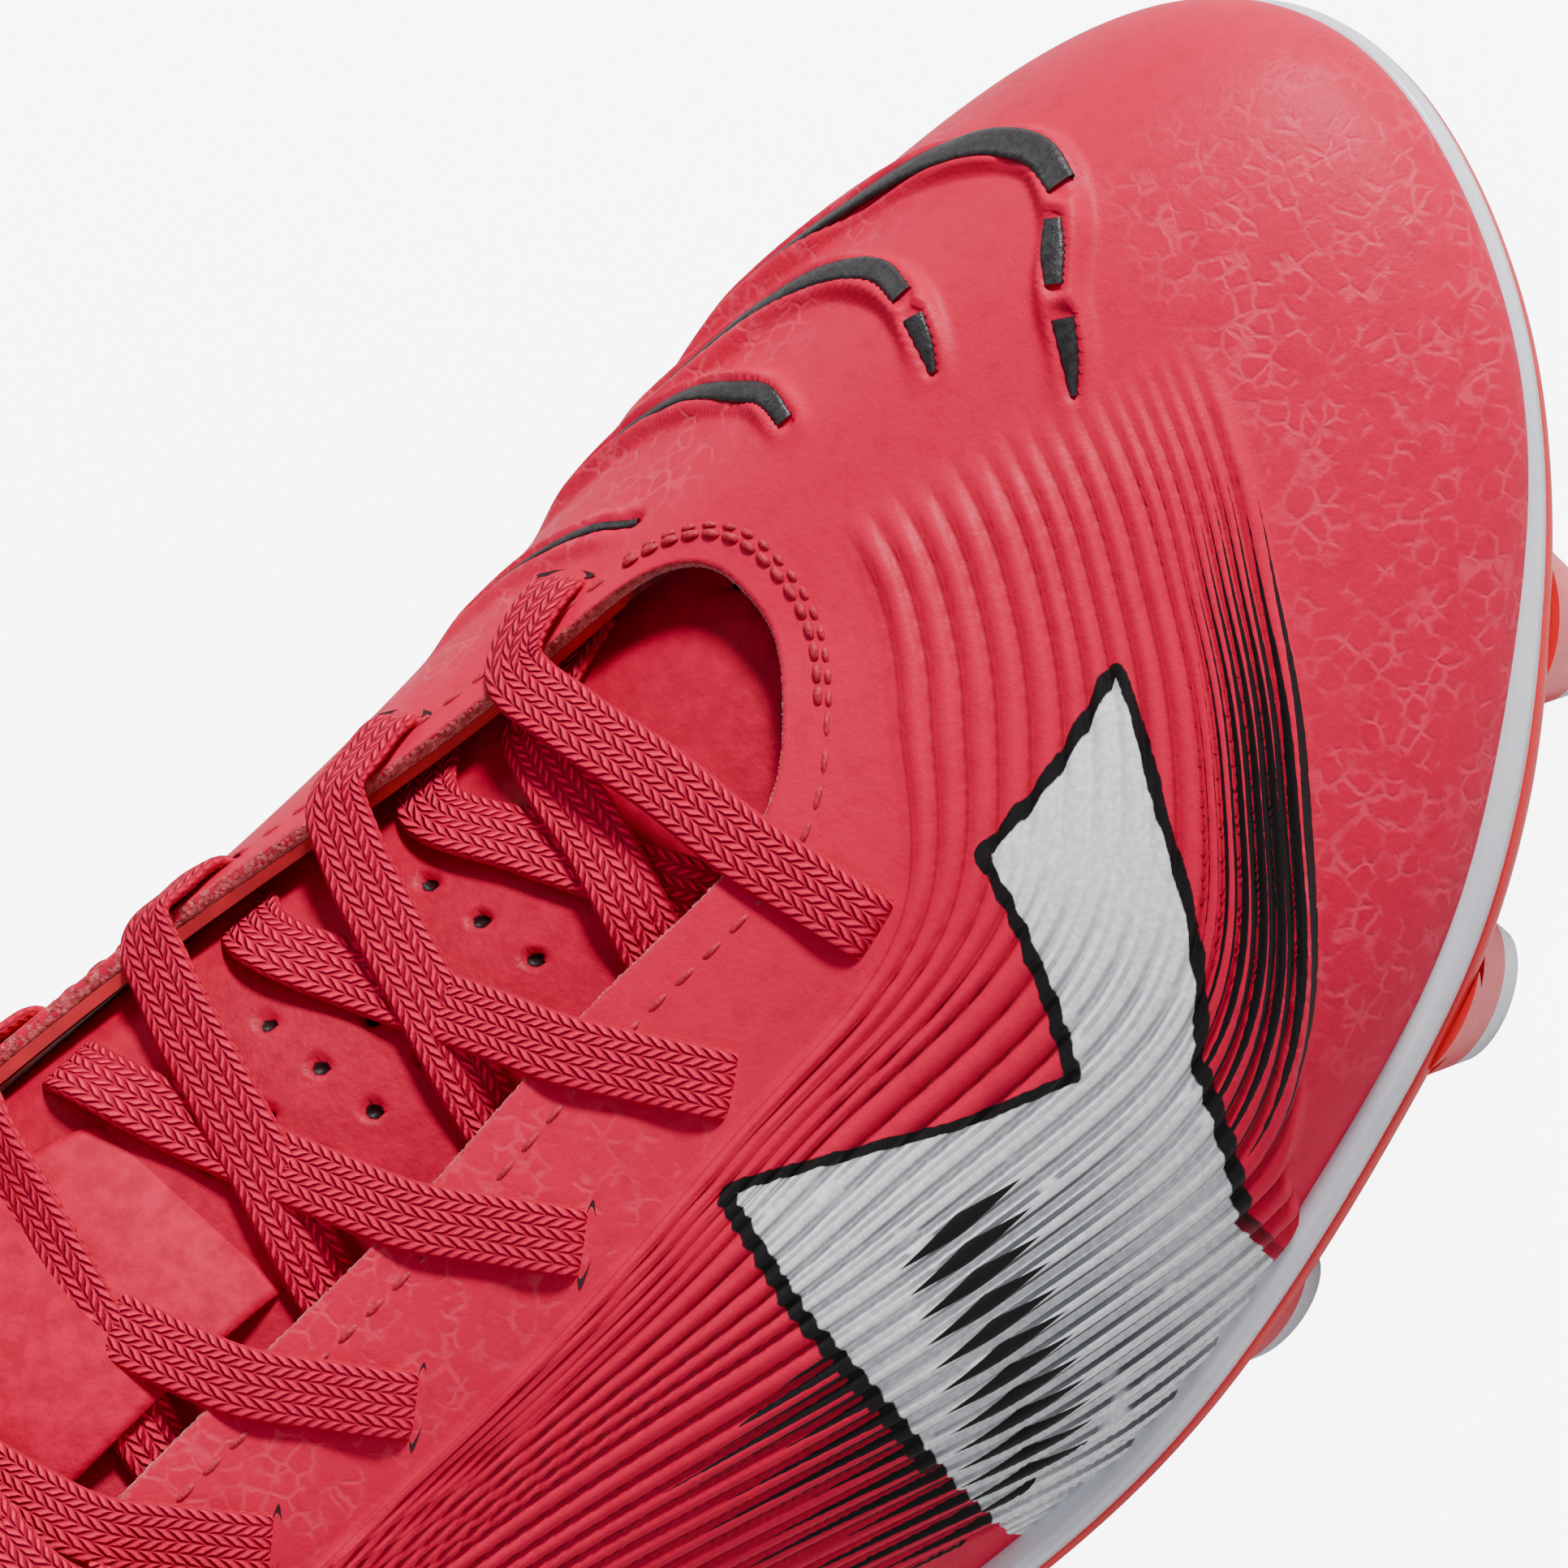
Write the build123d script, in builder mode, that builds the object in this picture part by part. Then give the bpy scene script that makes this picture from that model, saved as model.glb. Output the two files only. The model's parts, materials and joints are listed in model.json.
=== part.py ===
"""Right football boot, low cut and laced: a layered upper on a studded two-shot sole.

Frame: +X to the toe, +Y to the inner (medial) side, +Z up, the ground at z = 0.
The origin is on the ground, below the middle of the boot. All sizes are in millimetres.
"""

from build123d import *
import math
import os

import numpy as np

os.makedirs("parts", exist_ok=True)

# ---------------------------------------------------------------- driving dimensions
SHIFT = (0.5, 3.25)          # from the foot's own centre line to the middle of the boot

SHELL_THICK = 1.5            # coated synthetic upper
LAYER_GAP = 0.1              # between two layers, so that they touch nowhere
STIFFENER_THICK = 1.2        # toe puff, heel counter and eyestay backers
LINING_THICK = 0.8
FOAM_THICK = 3.0             # collar padding
SEAM_GAP = 0.012             # half the back seam, in stations round the boot

PLATE_THICK = 3.6
RIM_INSET = 1.3              # from the feather line to the rim's inside
RIM_OUT = 2.6                # from the feather line to the plate's edge
RIM_HEIGHT = 2.6

BOARD_THICK = 1.5
SOCK_FOAM_THICK = 3.2
SOCK_COVER_THICK = 0.8
SOCK_CLEARANCE = 0.4

LACE_WIDTH = 6.5
LACE_THICK = 1.3
LACE_GAP = 0.15              # between the lace and what it lies on

TONGUE_DEPTH = 6.0           # from the outside of the upper down to the tongue's face
TONGUE_FACE_THICK = 1.2
TONGUE_FOAM_THICK = 3.4
TONGUE_LINING_THICK = 0.7
TONGUE_GAP = 0.25            # between two layers of the tongue
TAB_THICK = 7.0

# ---------------------------------------------------------------- shape of the upper
# Stations run round the boot from the heel's middle, along the lateral side, round the toe
# and back along the medial side. Each has the feather line's point where the upper meets
# the sole, two points that bow the wall, and the top edge's point at the collar or throat.
STATIONS = [
    ((-140, 0), (-146, 0, 38), (-132, 0, 60), (-135, 0, 86)),
    ((-136, -16), (-140, -22, 37), (-128, -17, 59), (-130, -14, 84)),
    ((-120, -27), (-122, -34, 36), (-115, -26, 56), (-114, -23, 77)),
    ((-97, -32), (-97, -38, 35), (-92, -31, 53), (-91, -27, 69.5)),
    ((-67, -36), (-67, -41, 36), (-70, -34, 55), (-71, -28, 70)),
    ((-40, -40), (-40, -44, 40), (-50, -35, 64), (-54, -24, 84)),
    ((-15, -44), (-17, -46.5, 41), (-32, -34, 72), (-39, -17, 95)),
    ((8, -49.5), (7, -50, 37), (-6, -33, 67), (-12, -11, 83)),
    ((29, -52.5), (30, -53.5, 33), (20, -34, 60), (14, -8.5, 71.5)),
    ((49, -51.5), (51, -54, 30), (41, -34, 52.5), (36, -6, 64)),
    ((68, -48.5), (71, -53, 29), (63, -32.5, 48.5), (55, -5, 58)),
    ((88, -43.5), (92, -48, 29), (82, -25.5, 47), (65, 1.5, 56)),
    ((110, -32), (115, -36.5, 30), (98, -14, 46.5), (69, 7.5, 55)),
    ((129, -16), (135, -18.5, 33), (110, 1, 46.5), (70, 12.5, 55)),
    ((139, 8), (144, 8.5, 38), (114, 15.5, 47.5), (69.5, 17, 55)),
    ((131.5, 28.5), (137, 31.5, 36.5), (110, 26.5, 46.5), (67, 20.5, 55.5)),
    ((111, 41), (115, 44.5, 32), (95, 35, 45.5), (61, 23, 57)),
    ((87, 46), (88.5, 49, 31), (70.5, 40, 47), (49, 24.5, 60)),
    ((59, 43.5), (60, 47, 32), (46.5, 40.5, 51), (33, 26.5, 66)),
    ((29, 36), (29, 40, 36), (18.5, 38.5, 59), (12, 29, 76)),
    ((-1, 28.5), (-2, 33, 40), (-10, 36, 68), (-14, 30, 87)),
    ((-25, 26), (-27, 33, 42), (-33, 34, 77), (-41, 28, 97.5)),
    ((-50, 26.5), (-50, 33, 42), (-53, 31, 67), (-55, 27, 87)),
    ((-76, 28.5), (-76, 35, 40), (-73, 31, 58), (-72, 27, 74)),
    ((-101, 29), (-101, 36, 37), (-93, 29, 56), (-92, 26, 72)),
    ((-123, 23.5), (-125, 30, 36), (-116, 24, 57), (-115, 22, 79)),
    ((-136, 13), (-141, 19, 37), (-128, 16, 59), (-131, 13.5, 84.5)),
]
STATION_COUNT = len(STATIONS)

# Height of the sole plate's top along the boot.
SOLE_TOP = [(-150, 17.5), (-100, 15.5), (-50, 17.5), (0, 17.5), (40, 15), (70, 14.5), (100, 17),
            (125, 21.5), (150, 29)]


def sole_top(x):
    """Height of the plate's top at x, on a smooth curve through SOLE_TOP."""
    xs = np.array([p[0] for p in SOLE_TOP], float)
    zs = np.array([p[1] for p in SOLE_TOP], float)
    slopes = np.gradient(zs, xs)
    i = int(np.clip(np.searchsorted(xs, x) - 1, 0, len(xs) - 2))
    width = xs[i + 1] - xs[i]
    t = (x - xs[i]) / width
    rise = (2 * t**3 - 3 * t**2 + 1) * zs[i] + (3 * t**2 - 2 * t**3) * zs[i + 1]
    lean = (t**3 - 2 * t**2 + t) * slopes[i] + (t**3 - t**2) * slopes[i + 1]
    return float(rise + width * lean)


def control_net():
    """B-spline control rows whose closed cubic spline passes through the stations."""
    rows = []
    for foot, low, high, top in STATIONS:
        rows.append([(foot[0], foot[1], sole_top(foot[0])), low, high, top])
    rows = np.array(rows, float)
    rows[:, :, :2] += SHIFT
    eye = np.eye(STATION_COUNT)
    spread = (4 * eye + np.roll(eye, 1, axis=0) + np.roll(eye, -1, axis=0)) / 6
    return np.linalg.solve(spread, rows.reshape(STATION_COUNT, -1)).reshape(rows.shape)


NET = control_net()


def section_curve(u):
    """The four Bezier points of the wall at station u, which wraps round."""
    i = math.floor(u)
    t = u - i
    weights = ((1 - t) ** 3, 3 * t**3 - 6 * t**2 + 4, -3 * t**3 + 3 * t**2 + 3 * t + 1, t**3)
    return sum(w / 6 * NET[(i + k - 1) % STATION_COUNT] for k, w in enumerate(weights))


def outside(u, v):
    """Point on the outside of the upper: v = 0 at the sole, 1 at the top edge."""
    a, b, c, d = section_curve(u)
    return (1 - v) ** 3 * a + 3 * (1 - v) ** 2 * v * b + 3 * (1 - v) * v**2 * c + v**3 * d


def outward(u, v):
    """Unit normal that points out of the boot."""
    du, dv = 0.02, 0.01
    low, high = max(v - dv, 0.0), min(v + dv, 1.0)
    along = outside(u + du, v) - outside(u - du, v)
    across = outside(u, high) - outside(u, low)
    normal = np.cross(along, across)
    return normal / np.linalg.norm(normal)


def wall(u, v, depth):
    """Point at a depth under the outside of the upper. A negative depth is above it."""
    return outside(u, v) - outward(u, v) * depth


# ---------------------------------------------------------------- layers of the upper
def closed_skin(outer, inner):
    """Solid between two equal grids of points, closed by ruled edges."""
    faces = []
    corners = []
    for grid in (outer, inner):
        rows = [[tuple(map(float, p)) for p in row] for row in grid]
        faces.append(Face.make_surface_from_array_of_points(rows, tol=0.005, min_deg=3, max_deg=5))
        corners.append((rows[0][0], rows[0][-1], rows[-1][0], rows[-1][-1]))
    sides = []
    for first, second in ((0, 1), (0, 2), (1, 3), (2, 3)):
        pair = [edge_between(face, ends[first], ends[second]) for face, ends in zip(faces, corners)]
        sides.append(Face.make_surface_from_curves(*pair))
    shell = Shell(faces + sides)
    return Solid(shell)


def edge_between(face, start, end):
    """The face's edge that joins two of its corners."""
    def miss(edge):
        a, b = edge.position_at(0), edge.position_at(1)
        straight = (a - Vector(start)).length + (b - Vector(end)).length
        turned = (b - Vector(start)).length + (a - Vector(end)).length
        return min(straight, turned)

    return min(face.edges(), key=miss)


def layer(u_range, v_range, outer_depth, inner_depth, steps_per_station=4, rows=9):
    """A layer of the upper between two depths. A depth is one number, or one for each v end."""
    count = max(4, round((u_range[1] - u_range[0]) * steps_per_station))
    us = np.linspace(*u_range, count + 1)
    vs = np.linspace(*v_range, rows)
    grids = []
    for depth in (outer_depth, inner_depth):
        ends = depth if isinstance(depth, tuple) else (depth, depth)
        depths = np.linspace(*ends, rows)
        grids.append([[wall(u, v, d) for v, d in zip(vs, depths)] for u in us])
    return closed_skin(*grids)


STIFF_TOP = SHELL_THICK + LAYER_GAP
STIFF_BASE = STIFF_TOP + STIFFENER_THICK
LINING_TOP = STIFF_BASE + LAYER_GAP
LINING_BASE = LINING_TOP + LINING_THICK
FOAM_BASE = STIFF_TOP + FOAM_THICK


LAYERS = {
    "upper_shell": layer((SEAM_GAP, STATION_COUNT - SEAM_GAP), (0, 1), 0, SHELL_THICK),
    "heel_panel": layer((-1.1, 1.1), (0.12, 0.97), -1.1, -LAYER_GAP),
    "heel_counter": layer((-4.2, 4.2), (0.0, 0.66), STIFF_TOP, STIFF_BASE),
    "toe_puff": layer((11.4, 16.8), (0.0, 0.42), STIFF_TOP, STIFF_BASE),
    "eyestay_backer_lateral": layer((6.4, 11.0), (0.74, 1.0), STIFF_TOP, STIFF_BASE),
    "eyestay_backer_medial": layer((16.0, 20.6), (0.74, 1.0), STIFF_TOP, STIFF_BASE),
    "collar_foam": layer((-4.6, 4.6), (0.7, 1.0), STIFF_TOP, (FOAM_BASE - 0.6, FOAM_BASE)),
    "vamp_lining": layer((5.3, 21.7), (0.0, 1.0), LINING_TOP, LINING_BASE),
    "heel_lining": layer((-5.2, 5.2), (0.0, 1.0), (LINING_TOP, FOAM_BASE + LAYER_GAP),
                         (LINING_BASE, FOAM_BASE + LAYER_GAP + LINING_THICK)),
}


def save(piece, name):
    """Label a finished piece and write it."""
    piece.part.label = name
    export_step(piece.part, f"parts/{name}.step")
    print(f"{name:24s} {piece.part.volume:9.0f} mm3  valid {piece.part.is_valid}")


for name, solid in LAYERS.items():
    with BuildPart() as upper_layer:
        add(solid)
    save(upper_layer, name)


# ---------------------------------------------------------------- sole
PROFILE_XS = np.linspace(-150, 150, 31)
SIDE_REACH = 90.0            # wider than half the boot


def feather_outline(offset):
    """Points of the feather line in plan, moved out by the offset."""
    points = []
    for u in np.arange(0, STATION_COUNT, 0.5):
        here = outside(u, 0)[:2]
        ahead = outside(u + 0.02, 0)[:2] - outside(u - 0.02, 0)[:2]
        ahead /= np.linalg.norm(ahead)
        points.append(tuple(here + offset * np.array([ahead[1], -ahead[0]])))
    return points


def outline(offset):
    """Closed outline in plan at an offset from the feather line."""
    with BuildLine() as plan:
        Spline(*feather_outline(offset), periodic=True)
    return plan.edges()


def side_band(low, high):
    """Side view of a sheet that follows the sole's top, between two heights from it."""
    xs = PROFILE_XS + SHIFT[0]
    with BuildLine() as side:
        under = Spline(*[(x, sole_top(x) + low) for x in xs])
        over = Spline(*[(x, sole_top(x) + high) for x in xs])
        Line(under @ 0, over @ 0)
        Line(under @ 1, over @ 1)
    return side.edges()


def sole_sheet(offset, low, high, hole_offset=None):
    """A sheet of the sole between two heights from the plate's top, with an optional hole."""
    with BuildPart() as sheet:
        with BuildSketch(Plane.XY):
            make_face(outline(offset))
        extrude(amount=60)
        if hole_offset is not None:
            with BuildSketch(Plane.XY):
                make_face(outline(hole_offset))
            extrude(amount=60, mode=Mode.SUBTRACT)
        with BuildSketch(Plane.XZ):
            make_face(side_band(low, high))
        extrude(amount=SIDE_REACH, both=True, mode=Mode.INTERSECT)
    return sheet


outsole_plate = sole_sheet(RIM_OUT, -PLATE_THICK, 0)
save(outsole_plate, "outsole_plate")
save(sole_sheet(RIM_OUT, 0, RIM_HEIGHT, hole_offset=RIM_INSET), "sole_rim")

BOARD_INSET = LINING_BASE + 0.6
board_low = 0.05
board_high = board_low + BOARD_THICK
save(sole_sheet(-BOARD_INSET, board_low, board_high), "insole_board")

sock_low = board_high + SOCK_CLEARANCE
sock_mid = sock_low + SOCK_FOAM_THICK
SOCK_INSET = BOARD_INSET + SOCK_CLEARANCE
save(sole_sheet(-SOCK_INSET, sock_low, sock_mid), "sockliner_foam")
save(sole_sheet(-SOCK_INSET, sock_mid, sock_mid + SOCK_COVER_THICK), "sockliner_cover")

# Studs: place, half length and half width at the tip, and turn about the vertical.
STUDS = {
    "stud_outer_1": (107, -27, 5.5, 3.6, 42),
    "stud_outer_2": (77, -43, 6.5, 3.6, 20),
    "stud_outer_3": (42, -46.5, 6.5, 3.6, 0),
    "stud_inner_1": (104, 33, 5.5, 3.6, -25),
    "stud_inner_2": (72, 38, 6.5, 3.6, -3),
    "stud_inner_3": (34, 28, 6.5, 3.6, 14),
    "stud_middle_1": (112, 4, 4.4, 4.4, 0),
    "stud_middle_2": (58, -3, 4.4, 4.4, 0),
    "stud_heel_outer_1": (-72, -27, 6.2, 3.8, -3),
    "stud_heel_outer_2": (-112, -21, 6.2, 3.8, -12),
    "stud_heel_inner_1": (-72, 20, 6.2, 3.8, 0),
    "stud_heel_inner_2": (-112, 18, 6.2, 3.8, 12),
}
STUD_TIP_HEIGHT = 4.6        # height of the second shot at the end of the stud
STUD_TAPER = 15.0            # degrees
STUD_ROOT = 2.0              # how far the cone runs into the plate before it is trimmed


def stud_piece(x, y, half_length, half_width, turn, low, high):
    """The part of a tapered stud between two heights."""
    spread = math.tan(math.radians(STUD_TAPER))
    with BuildPart() as stud:
        for z in (low, high):
            with BuildSketch(Plane.XY.offset(z)):
                with Locations((x + SHIFT[0], y + SHIFT[1])):
                    Ellipse(half_length + z * spread, half_width + z * spread, rotation=turn)
        loft()
    return stud


for name, (x, y, half_length, half_width, turn) in STUDS.items():
    root = sole_top(x) - PLATE_THICK
    with BuildPart() as stud_base:
        add(stud_piece(x, y, half_length, half_width, turn, STUD_TIP_HEIGHT, root + STUD_ROOT).part)
        add(outsole_plate.part, mode=Mode.SUBTRACT)
    save(stud_base, name)

# The tips are a second shot of plastic, one for the front studs and one for the heel's.
for group, is_heel in (("stud_tips_front", False), ("stud_tips_heel", True)):
    with BuildPart() as stud_tips:
        for name, (x, y, half_length, half_width, turn) in STUDS.items():
            if ("heel" in name) == is_heel:
                add(stud_piece(x, y, half_length, half_width, turn, 0, STUD_TIP_HEIGHT).part)
    save(stud_tips, group)

# The spine stiffens the plate under the arch.
SPINE_FROM, SPINE_TO = -62.0, 18.0
SPINE_WIDTH, SPINE_DEPTH = 16.0, 2.4
with BuildPart() as arch_spine:
    with BuildSketch(Plane.XY):
        with Locations(((SPINE_FROM + SPINE_TO) / 2, SHIFT[1] - 4)):
            SlotOverall(SPINE_TO - SPINE_FROM, SPINE_WIDTH)
    extrude(amount=60)
    with BuildSketch(Plane.XZ):
        make_face(side_band(-PLATE_THICK - SPINE_DEPTH, -PLATE_THICK))
    extrude(amount=SIDE_REACH, both=True, mode=Mode.INTERSECT)
save(arch_spine, "arch_spine")


# ---------------------------------------------------------------- tongue
# Each section of the tongue joins a station of the lateral throat edge to one of the medial
# edge. It starts under one eyestay, crosses the throat and ends under the other.
THROAT_PAIRS = [(12.0, 15.6), (11.0, 16.3), (10.0, 17.0), (9.0, 18.0), (8.0, 19.0), (7.0, 20.0),
                (6.1, 20.9)]
UNDERLAP = 0.78              # how far down the wall the tongue's edges reach
THROAT_CROWN = 0.06          # rise of the tongue's middle, of the throat's width
COLUMNS = 13


def through_five(points, t):
    """Smooth curve through five points at t from 0 to 1."""
    knots = (0.0, 0.25, 0.5, 0.75, 1.0)
    total = 0
    for i, point in enumerate(points):
        weight = 1.0
        for j, knot in enumerate(knots):
            if i != j:
                weight *= (t - knot) / (knots[i] - knot)
        total = total + weight * point
    return total


def throat_section(lateral, medial, depth):
    """Five points across the throat at a depth under the upper's outside."""
    ends = [wall(lateral, UNDERLAP, depth), wall(lateral, 1, depth),
            wall(medial, 1, depth), wall(medial, UNDERLAP, depth)]
    width = np.linalg.norm(ends[1] - ends[2])
    middle = (ends[1] + ends[2]) / 2 + np.array([0, 0, THROAT_CROWN * width])
    return [ends[0], ends[1], middle, ends[2], ends[3]]


def tongue_row(place, depth):
    """Section of the tongue at a place from 0 at the toe end to 1 at the top eyelets."""
    s = place * (len(THROAT_PAIRS) - 1)
    i = min(int(s), len(THROAT_PAIRS) - 2)
    t = s - i
    lateral = THROAT_PAIRS[i][0] * (1 - t) + THROAT_PAIRS[i + 1][0] * t
    medial = THROAT_PAIRS[i][1] * (1 - t) + THROAT_PAIRS[i + 1][1] * t
    return throat_section(lateral, medial, depth)


def tongue_point(place, across, depth):
    """Point of the tongue: across runs from 0 at the lateral edge to 1 at the medial edge."""
    return through_five(tongue_row(place, depth), across)


def tongue_layer(depth, thick, margin=0.0, places=(0.0, 1.0)):
    """A sheet of the tongue between two depths, drawn in by a margin at its sides."""
    across = np.linspace(margin, 1 - margin, COLUMNS)
    rows = np.linspace(*places, 19)
    return closed_skin([[tongue_point(p, a, depth) for a in across] for p in rows],
                       [[tongue_point(p, a, depth + thick) for a in across] for p in rows])


FOAM_DEPTH = TONGUE_DEPTH + TONGUE_FACE_THICK + TONGUE_GAP
TONGUE_LINING_DEPTH = FOAM_DEPTH + TONGUE_FOAM_THICK + TONGUE_GAP
TONGUE_LAYERS = {
    "tongue_face": tongue_layer(TONGUE_DEPTH, TONGUE_FACE_THICK),
    "tongue_foam": tongue_layer(FOAM_DEPTH, TONGUE_FOAM_THICK, margin=0.06, places=(0.01, 0.985)),
    "tongue_lining": tongue_layer(TONGUE_LINING_DEPTH, TONGUE_LINING_THICK, margin=0.03,
                                  places=(0.0, 0.99)),
}
for name, solid in TONGUE_LAYERS.items():
    with BuildPart() as tongue_sheet:
        add(solid)
    save(tongue_sheet, name)

# The tab is the padded end of the tongue. It folds about the seam where it joins the rest.
TAB_SEAM_GAP = 1.8
TAB_LENGTH = 19.0
TAB_LEAN = np.array([-0.34, 0.0, 0.94])     # direction in which the tab stands up
TAB_SPAN = (0.18, 0.82)                     # part of the tongue's width that it covers
TAB_NARROWING = 0.28                        # how much narrower it is at the top
TAB_STEPS = 9
seam_row = tongue_row(1.0, TONGUE_DEPTH + 2.8)


def tab_point(rise, across, side):
    """Point of the tab: rise 0 to 1 up, side -1 at the front face and 1 at the back face."""
    middle = through_five(seam_row, 0.5)
    base = through_five(seam_row, TAB_SPAN[0] + across * (TAB_SPAN[1] - TAB_SPAN[0]))
    narrowed = base.copy()
    narrowed[1] += (middle[1] - base[1]) * TAB_NARROWING * rise**2
    swell = 0.16 + 0.84 * math.sin(math.pi * min(1.0, 0.04 + 0.9 * rise)) ** 0.6
    edge = 0.35 + 0.65 * math.sin(math.pi * across) ** 0.5
    ahead = np.array([TAB_LEAN[2], 0.0, -TAB_LEAN[0]])
    lifted = narrowed + TAB_LEAN * (TAB_SEAM_GAP + TAB_LENGTH * rise)
    return lifted - ahead * side * TAB_THICK / 2 * swell * edge


tab_grids = []
for side in (-1, 1):
    tab_grids.append([[tab_point(rise, across, side) for across in np.linspace(0, 1, COLUMNS)]
                      for rise in np.linspace(0, 1, TAB_STEPS)])
with BuildPart() as tongue_tab:
    add(closed_skin(*tab_grids))
save(tongue_tab, "tongue_tab")
TAB_HINGE = through_five(seam_row, 0.5) + TAB_LEAN * TAB_SEAM_GAP / 2
print("tab hinge at", np.round(TAB_HINGE, 2))


# ---------------------------------------------------------------- lacing
LATERAL_HOLES = [9.87, 8.96, 8.10, 7.30, 6.70, 6.25]      # stations of the six slits
MEDIAL_HOLES = [16.85, 17.90, 18.80, 19.60, 20.20, 20.70]
LATERAL_HOLE_V, MEDIAL_HOLE_V = 0.84, 0.90
LATERAL_EDGE, MEDIAL_EDGE = 0.28, 0.82      # throat edges, as shares of the way across

ABOVE = -(LACE_THICK / 2 + LACE_GAP)        # depth of a band that lies on the upper
LOW_BAND = TONGUE_DEPTH - LACE_THICK / 2 - 0.35      # depth of a band that lies on the tongue
HIGH_BAND = LOW_BAND - LACE_THICK - LACE_GAP


def place_of(hole, side):
    """Place along the throat of a station on the lateral (0) or medial (1) side."""
    stations = [pair[side] for pair in THROAT_PAIRS]
    order = np.argsort(stations)
    places = np.arange(len(stations)) / (len(stations) - 1)
    return float(np.interp(hole, np.array(stations)[order], places[order]))


def station_at(place, side):
    """Station on the lateral (0) or medial (1) side at a place along the throat."""
    places = np.arange(len(THROAT_PAIRS)) / (len(THROAT_PAIRS) - 1)
    return float(np.interp(place, places, [pair[side] for pair in THROAT_PAIRS]))


def across_point(place, share, depth):
    """Point between a lateral slit (share 0) and a medial slit (share 1) at a depth."""
    if share < LATERAL_EDGE:
        v = 1 - (1 - LATERAL_HOLE_V) * (1 - share / LATERAL_EDGE)
        return wall(station_at(place, 0), v, depth)
    if share > MEDIAL_EDGE:
        v = 1 - (1 - MEDIAL_HOLE_V) * (share - MEDIAL_EDGE) / (1 - MEDIAL_EDGE)
        return wall(station_at(place, 1), v, depth)
    return tongue_point(place, 0.25 + 0.5 * (share - LATERAL_EDGE) / (MEDIAL_EDGE - LATERAL_EDGE), depth)


def across_up(place, share):
    """Unit vector away from the foot at a point between the slits."""
    rise = across_point(place, share, -0.5) - across_point(place, share, 0.5)
    return rise / np.linalg.norm(rise)


def ribbon(points, ups, width, thick):
    """Flat band through the points, face up along the given directions."""
    with BuildPart() as band:
        for i, (point, up) in enumerate(zip(points, ups)):
            ahead = points[min(i + 1, len(points) - 1)] - points[max(i - 1, 0)]
            side = np.cross(ahead, up)
            with BuildSketch(Plane(tuple(point), x_dir=tuple(side), z_dir=tuple(ahead))):
                Rectangle(width, thick)
        loft(ruled=True)
    return band


def crossing_band(start_hole, end_hole, route):
    """Band from a lateral hole to a medial one along (share, depth) pairs."""
    first, last = place_of(start_hole, 0), place_of(end_hole, 1)
    points, ups = [], []
    for share, depth in route:
        place = first + (last - first) * share
        points.append(across_point(place, share, depth))
        ups.append(across_up(place, share))
    return ribbon(points, ups, LACE_WIDTH, LACE_THICK)


# Share of the way across and depth, from the lateral hole to the medial hole.
BAR = [(0, ABOVE), (0.14, ABOVE), (0.28, ABOVE), (0.45, ABOVE), (0.65, ABOVE), (0.82, ABOVE), (1, ABOVE)]
BEGINS_LATERAL = [(0, ABOVE), (0.14, ABOVE), (0.28, ABOVE), (0.35, 0.6), (0.43, LOW_BAND),
                  (0.6, LOW_BAND), (0.8, LOW_BAND), (1, LOW_BAND)]
BEGINS_MEDIAL = [(1, ABOVE), (0.91, ABOVE), (0.82, ABOVE), (0.75, 0.6), (0.67, HIGH_BAND),
                 (0.5, HIGH_BAND), (0.37, HIGH_BAND), (0.28, LOW_BAND), (0.14, LOW_BAND), (0, LOW_BAND)]
UNDER_LATERAL = [(0, LOW_BAND), (0.15, LOW_BAND), (0.35, LOW_BAND), (0.6, LOW_BAND), (0.8, LOW_BAND),
                 (1, LOW_BAND)]
UNDER_MEDIAL = [(1, LOW_BAND), (0.9, LOW_BAND), (0.8, LOW_BAND), (0.68, HIGH_BAND), (0.5, HIGH_BAND),
                (0.37, HIGH_BAND), (0.28, LOW_BAND), (0.14, LOW_BAND), (0, LOW_BAND)]

save(crossing_band(LATERAL_HOLES[0], MEDIAL_HOLES[0], BAR), "lace_bar")
for row in range(1, 6):
    from_lateral = UNDER_LATERAL if row == 1 else BEGINS_LATERAL
    from_medial = UNDER_MEDIAL if row == 1 else BEGINS_MEDIAL
    low = crossing_band(LATERAL_HOLES[row - 1], MEDIAL_HOLES[row], from_lateral)
    high = crossing_band(LATERAL_HOLES[row], MEDIAL_HOLES[row - 1], from_medial)
    save(low, f"lace_low_{row}")
    save(high, f"lace_high_{row}")

# The bridge on the tongue that the fourth pair of bands runs under.
KEEPER_MIDDLE = 0.5 * (place_of(LATERAL_HOLES[3], 0) + place_of(LATERAL_HOLES[4], 0))
KEEPER_SHARES = (0.4, 0.68)
KEEPER_THICK = 0.9
KEEPER_TOP = HIGH_BAND - LACE_THICK / 2 - 0.2 - KEEPER_THICK
KEEPER_FOOT = TONGUE_DEPTH - KEEPER_THICK - 0.25
KEEPER_PROFILE = [(-0.075, KEEPER_FOOT), (-0.055, KEEPER_TOP), (0.0, KEEPER_TOP - 0.2),
                  (0.055, KEEPER_TOP), (0.075, KEEPER_FOOT)]
keeper_grids = []
for extra in (0, KEEPER_THICK):
    keeper_grids.append([[across_point(KEEPER_MIDDLE + step, share, depth + extra)
                          for share in np.linspace(*KEEPER_SHARES, 7)] for step, depth in KEEPER_PROFILE])
with BuildPart() as lace_keeper:
    add(closed_skin(*keeper_grids))
save(lace_keeper, "lace_keeper")

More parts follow.
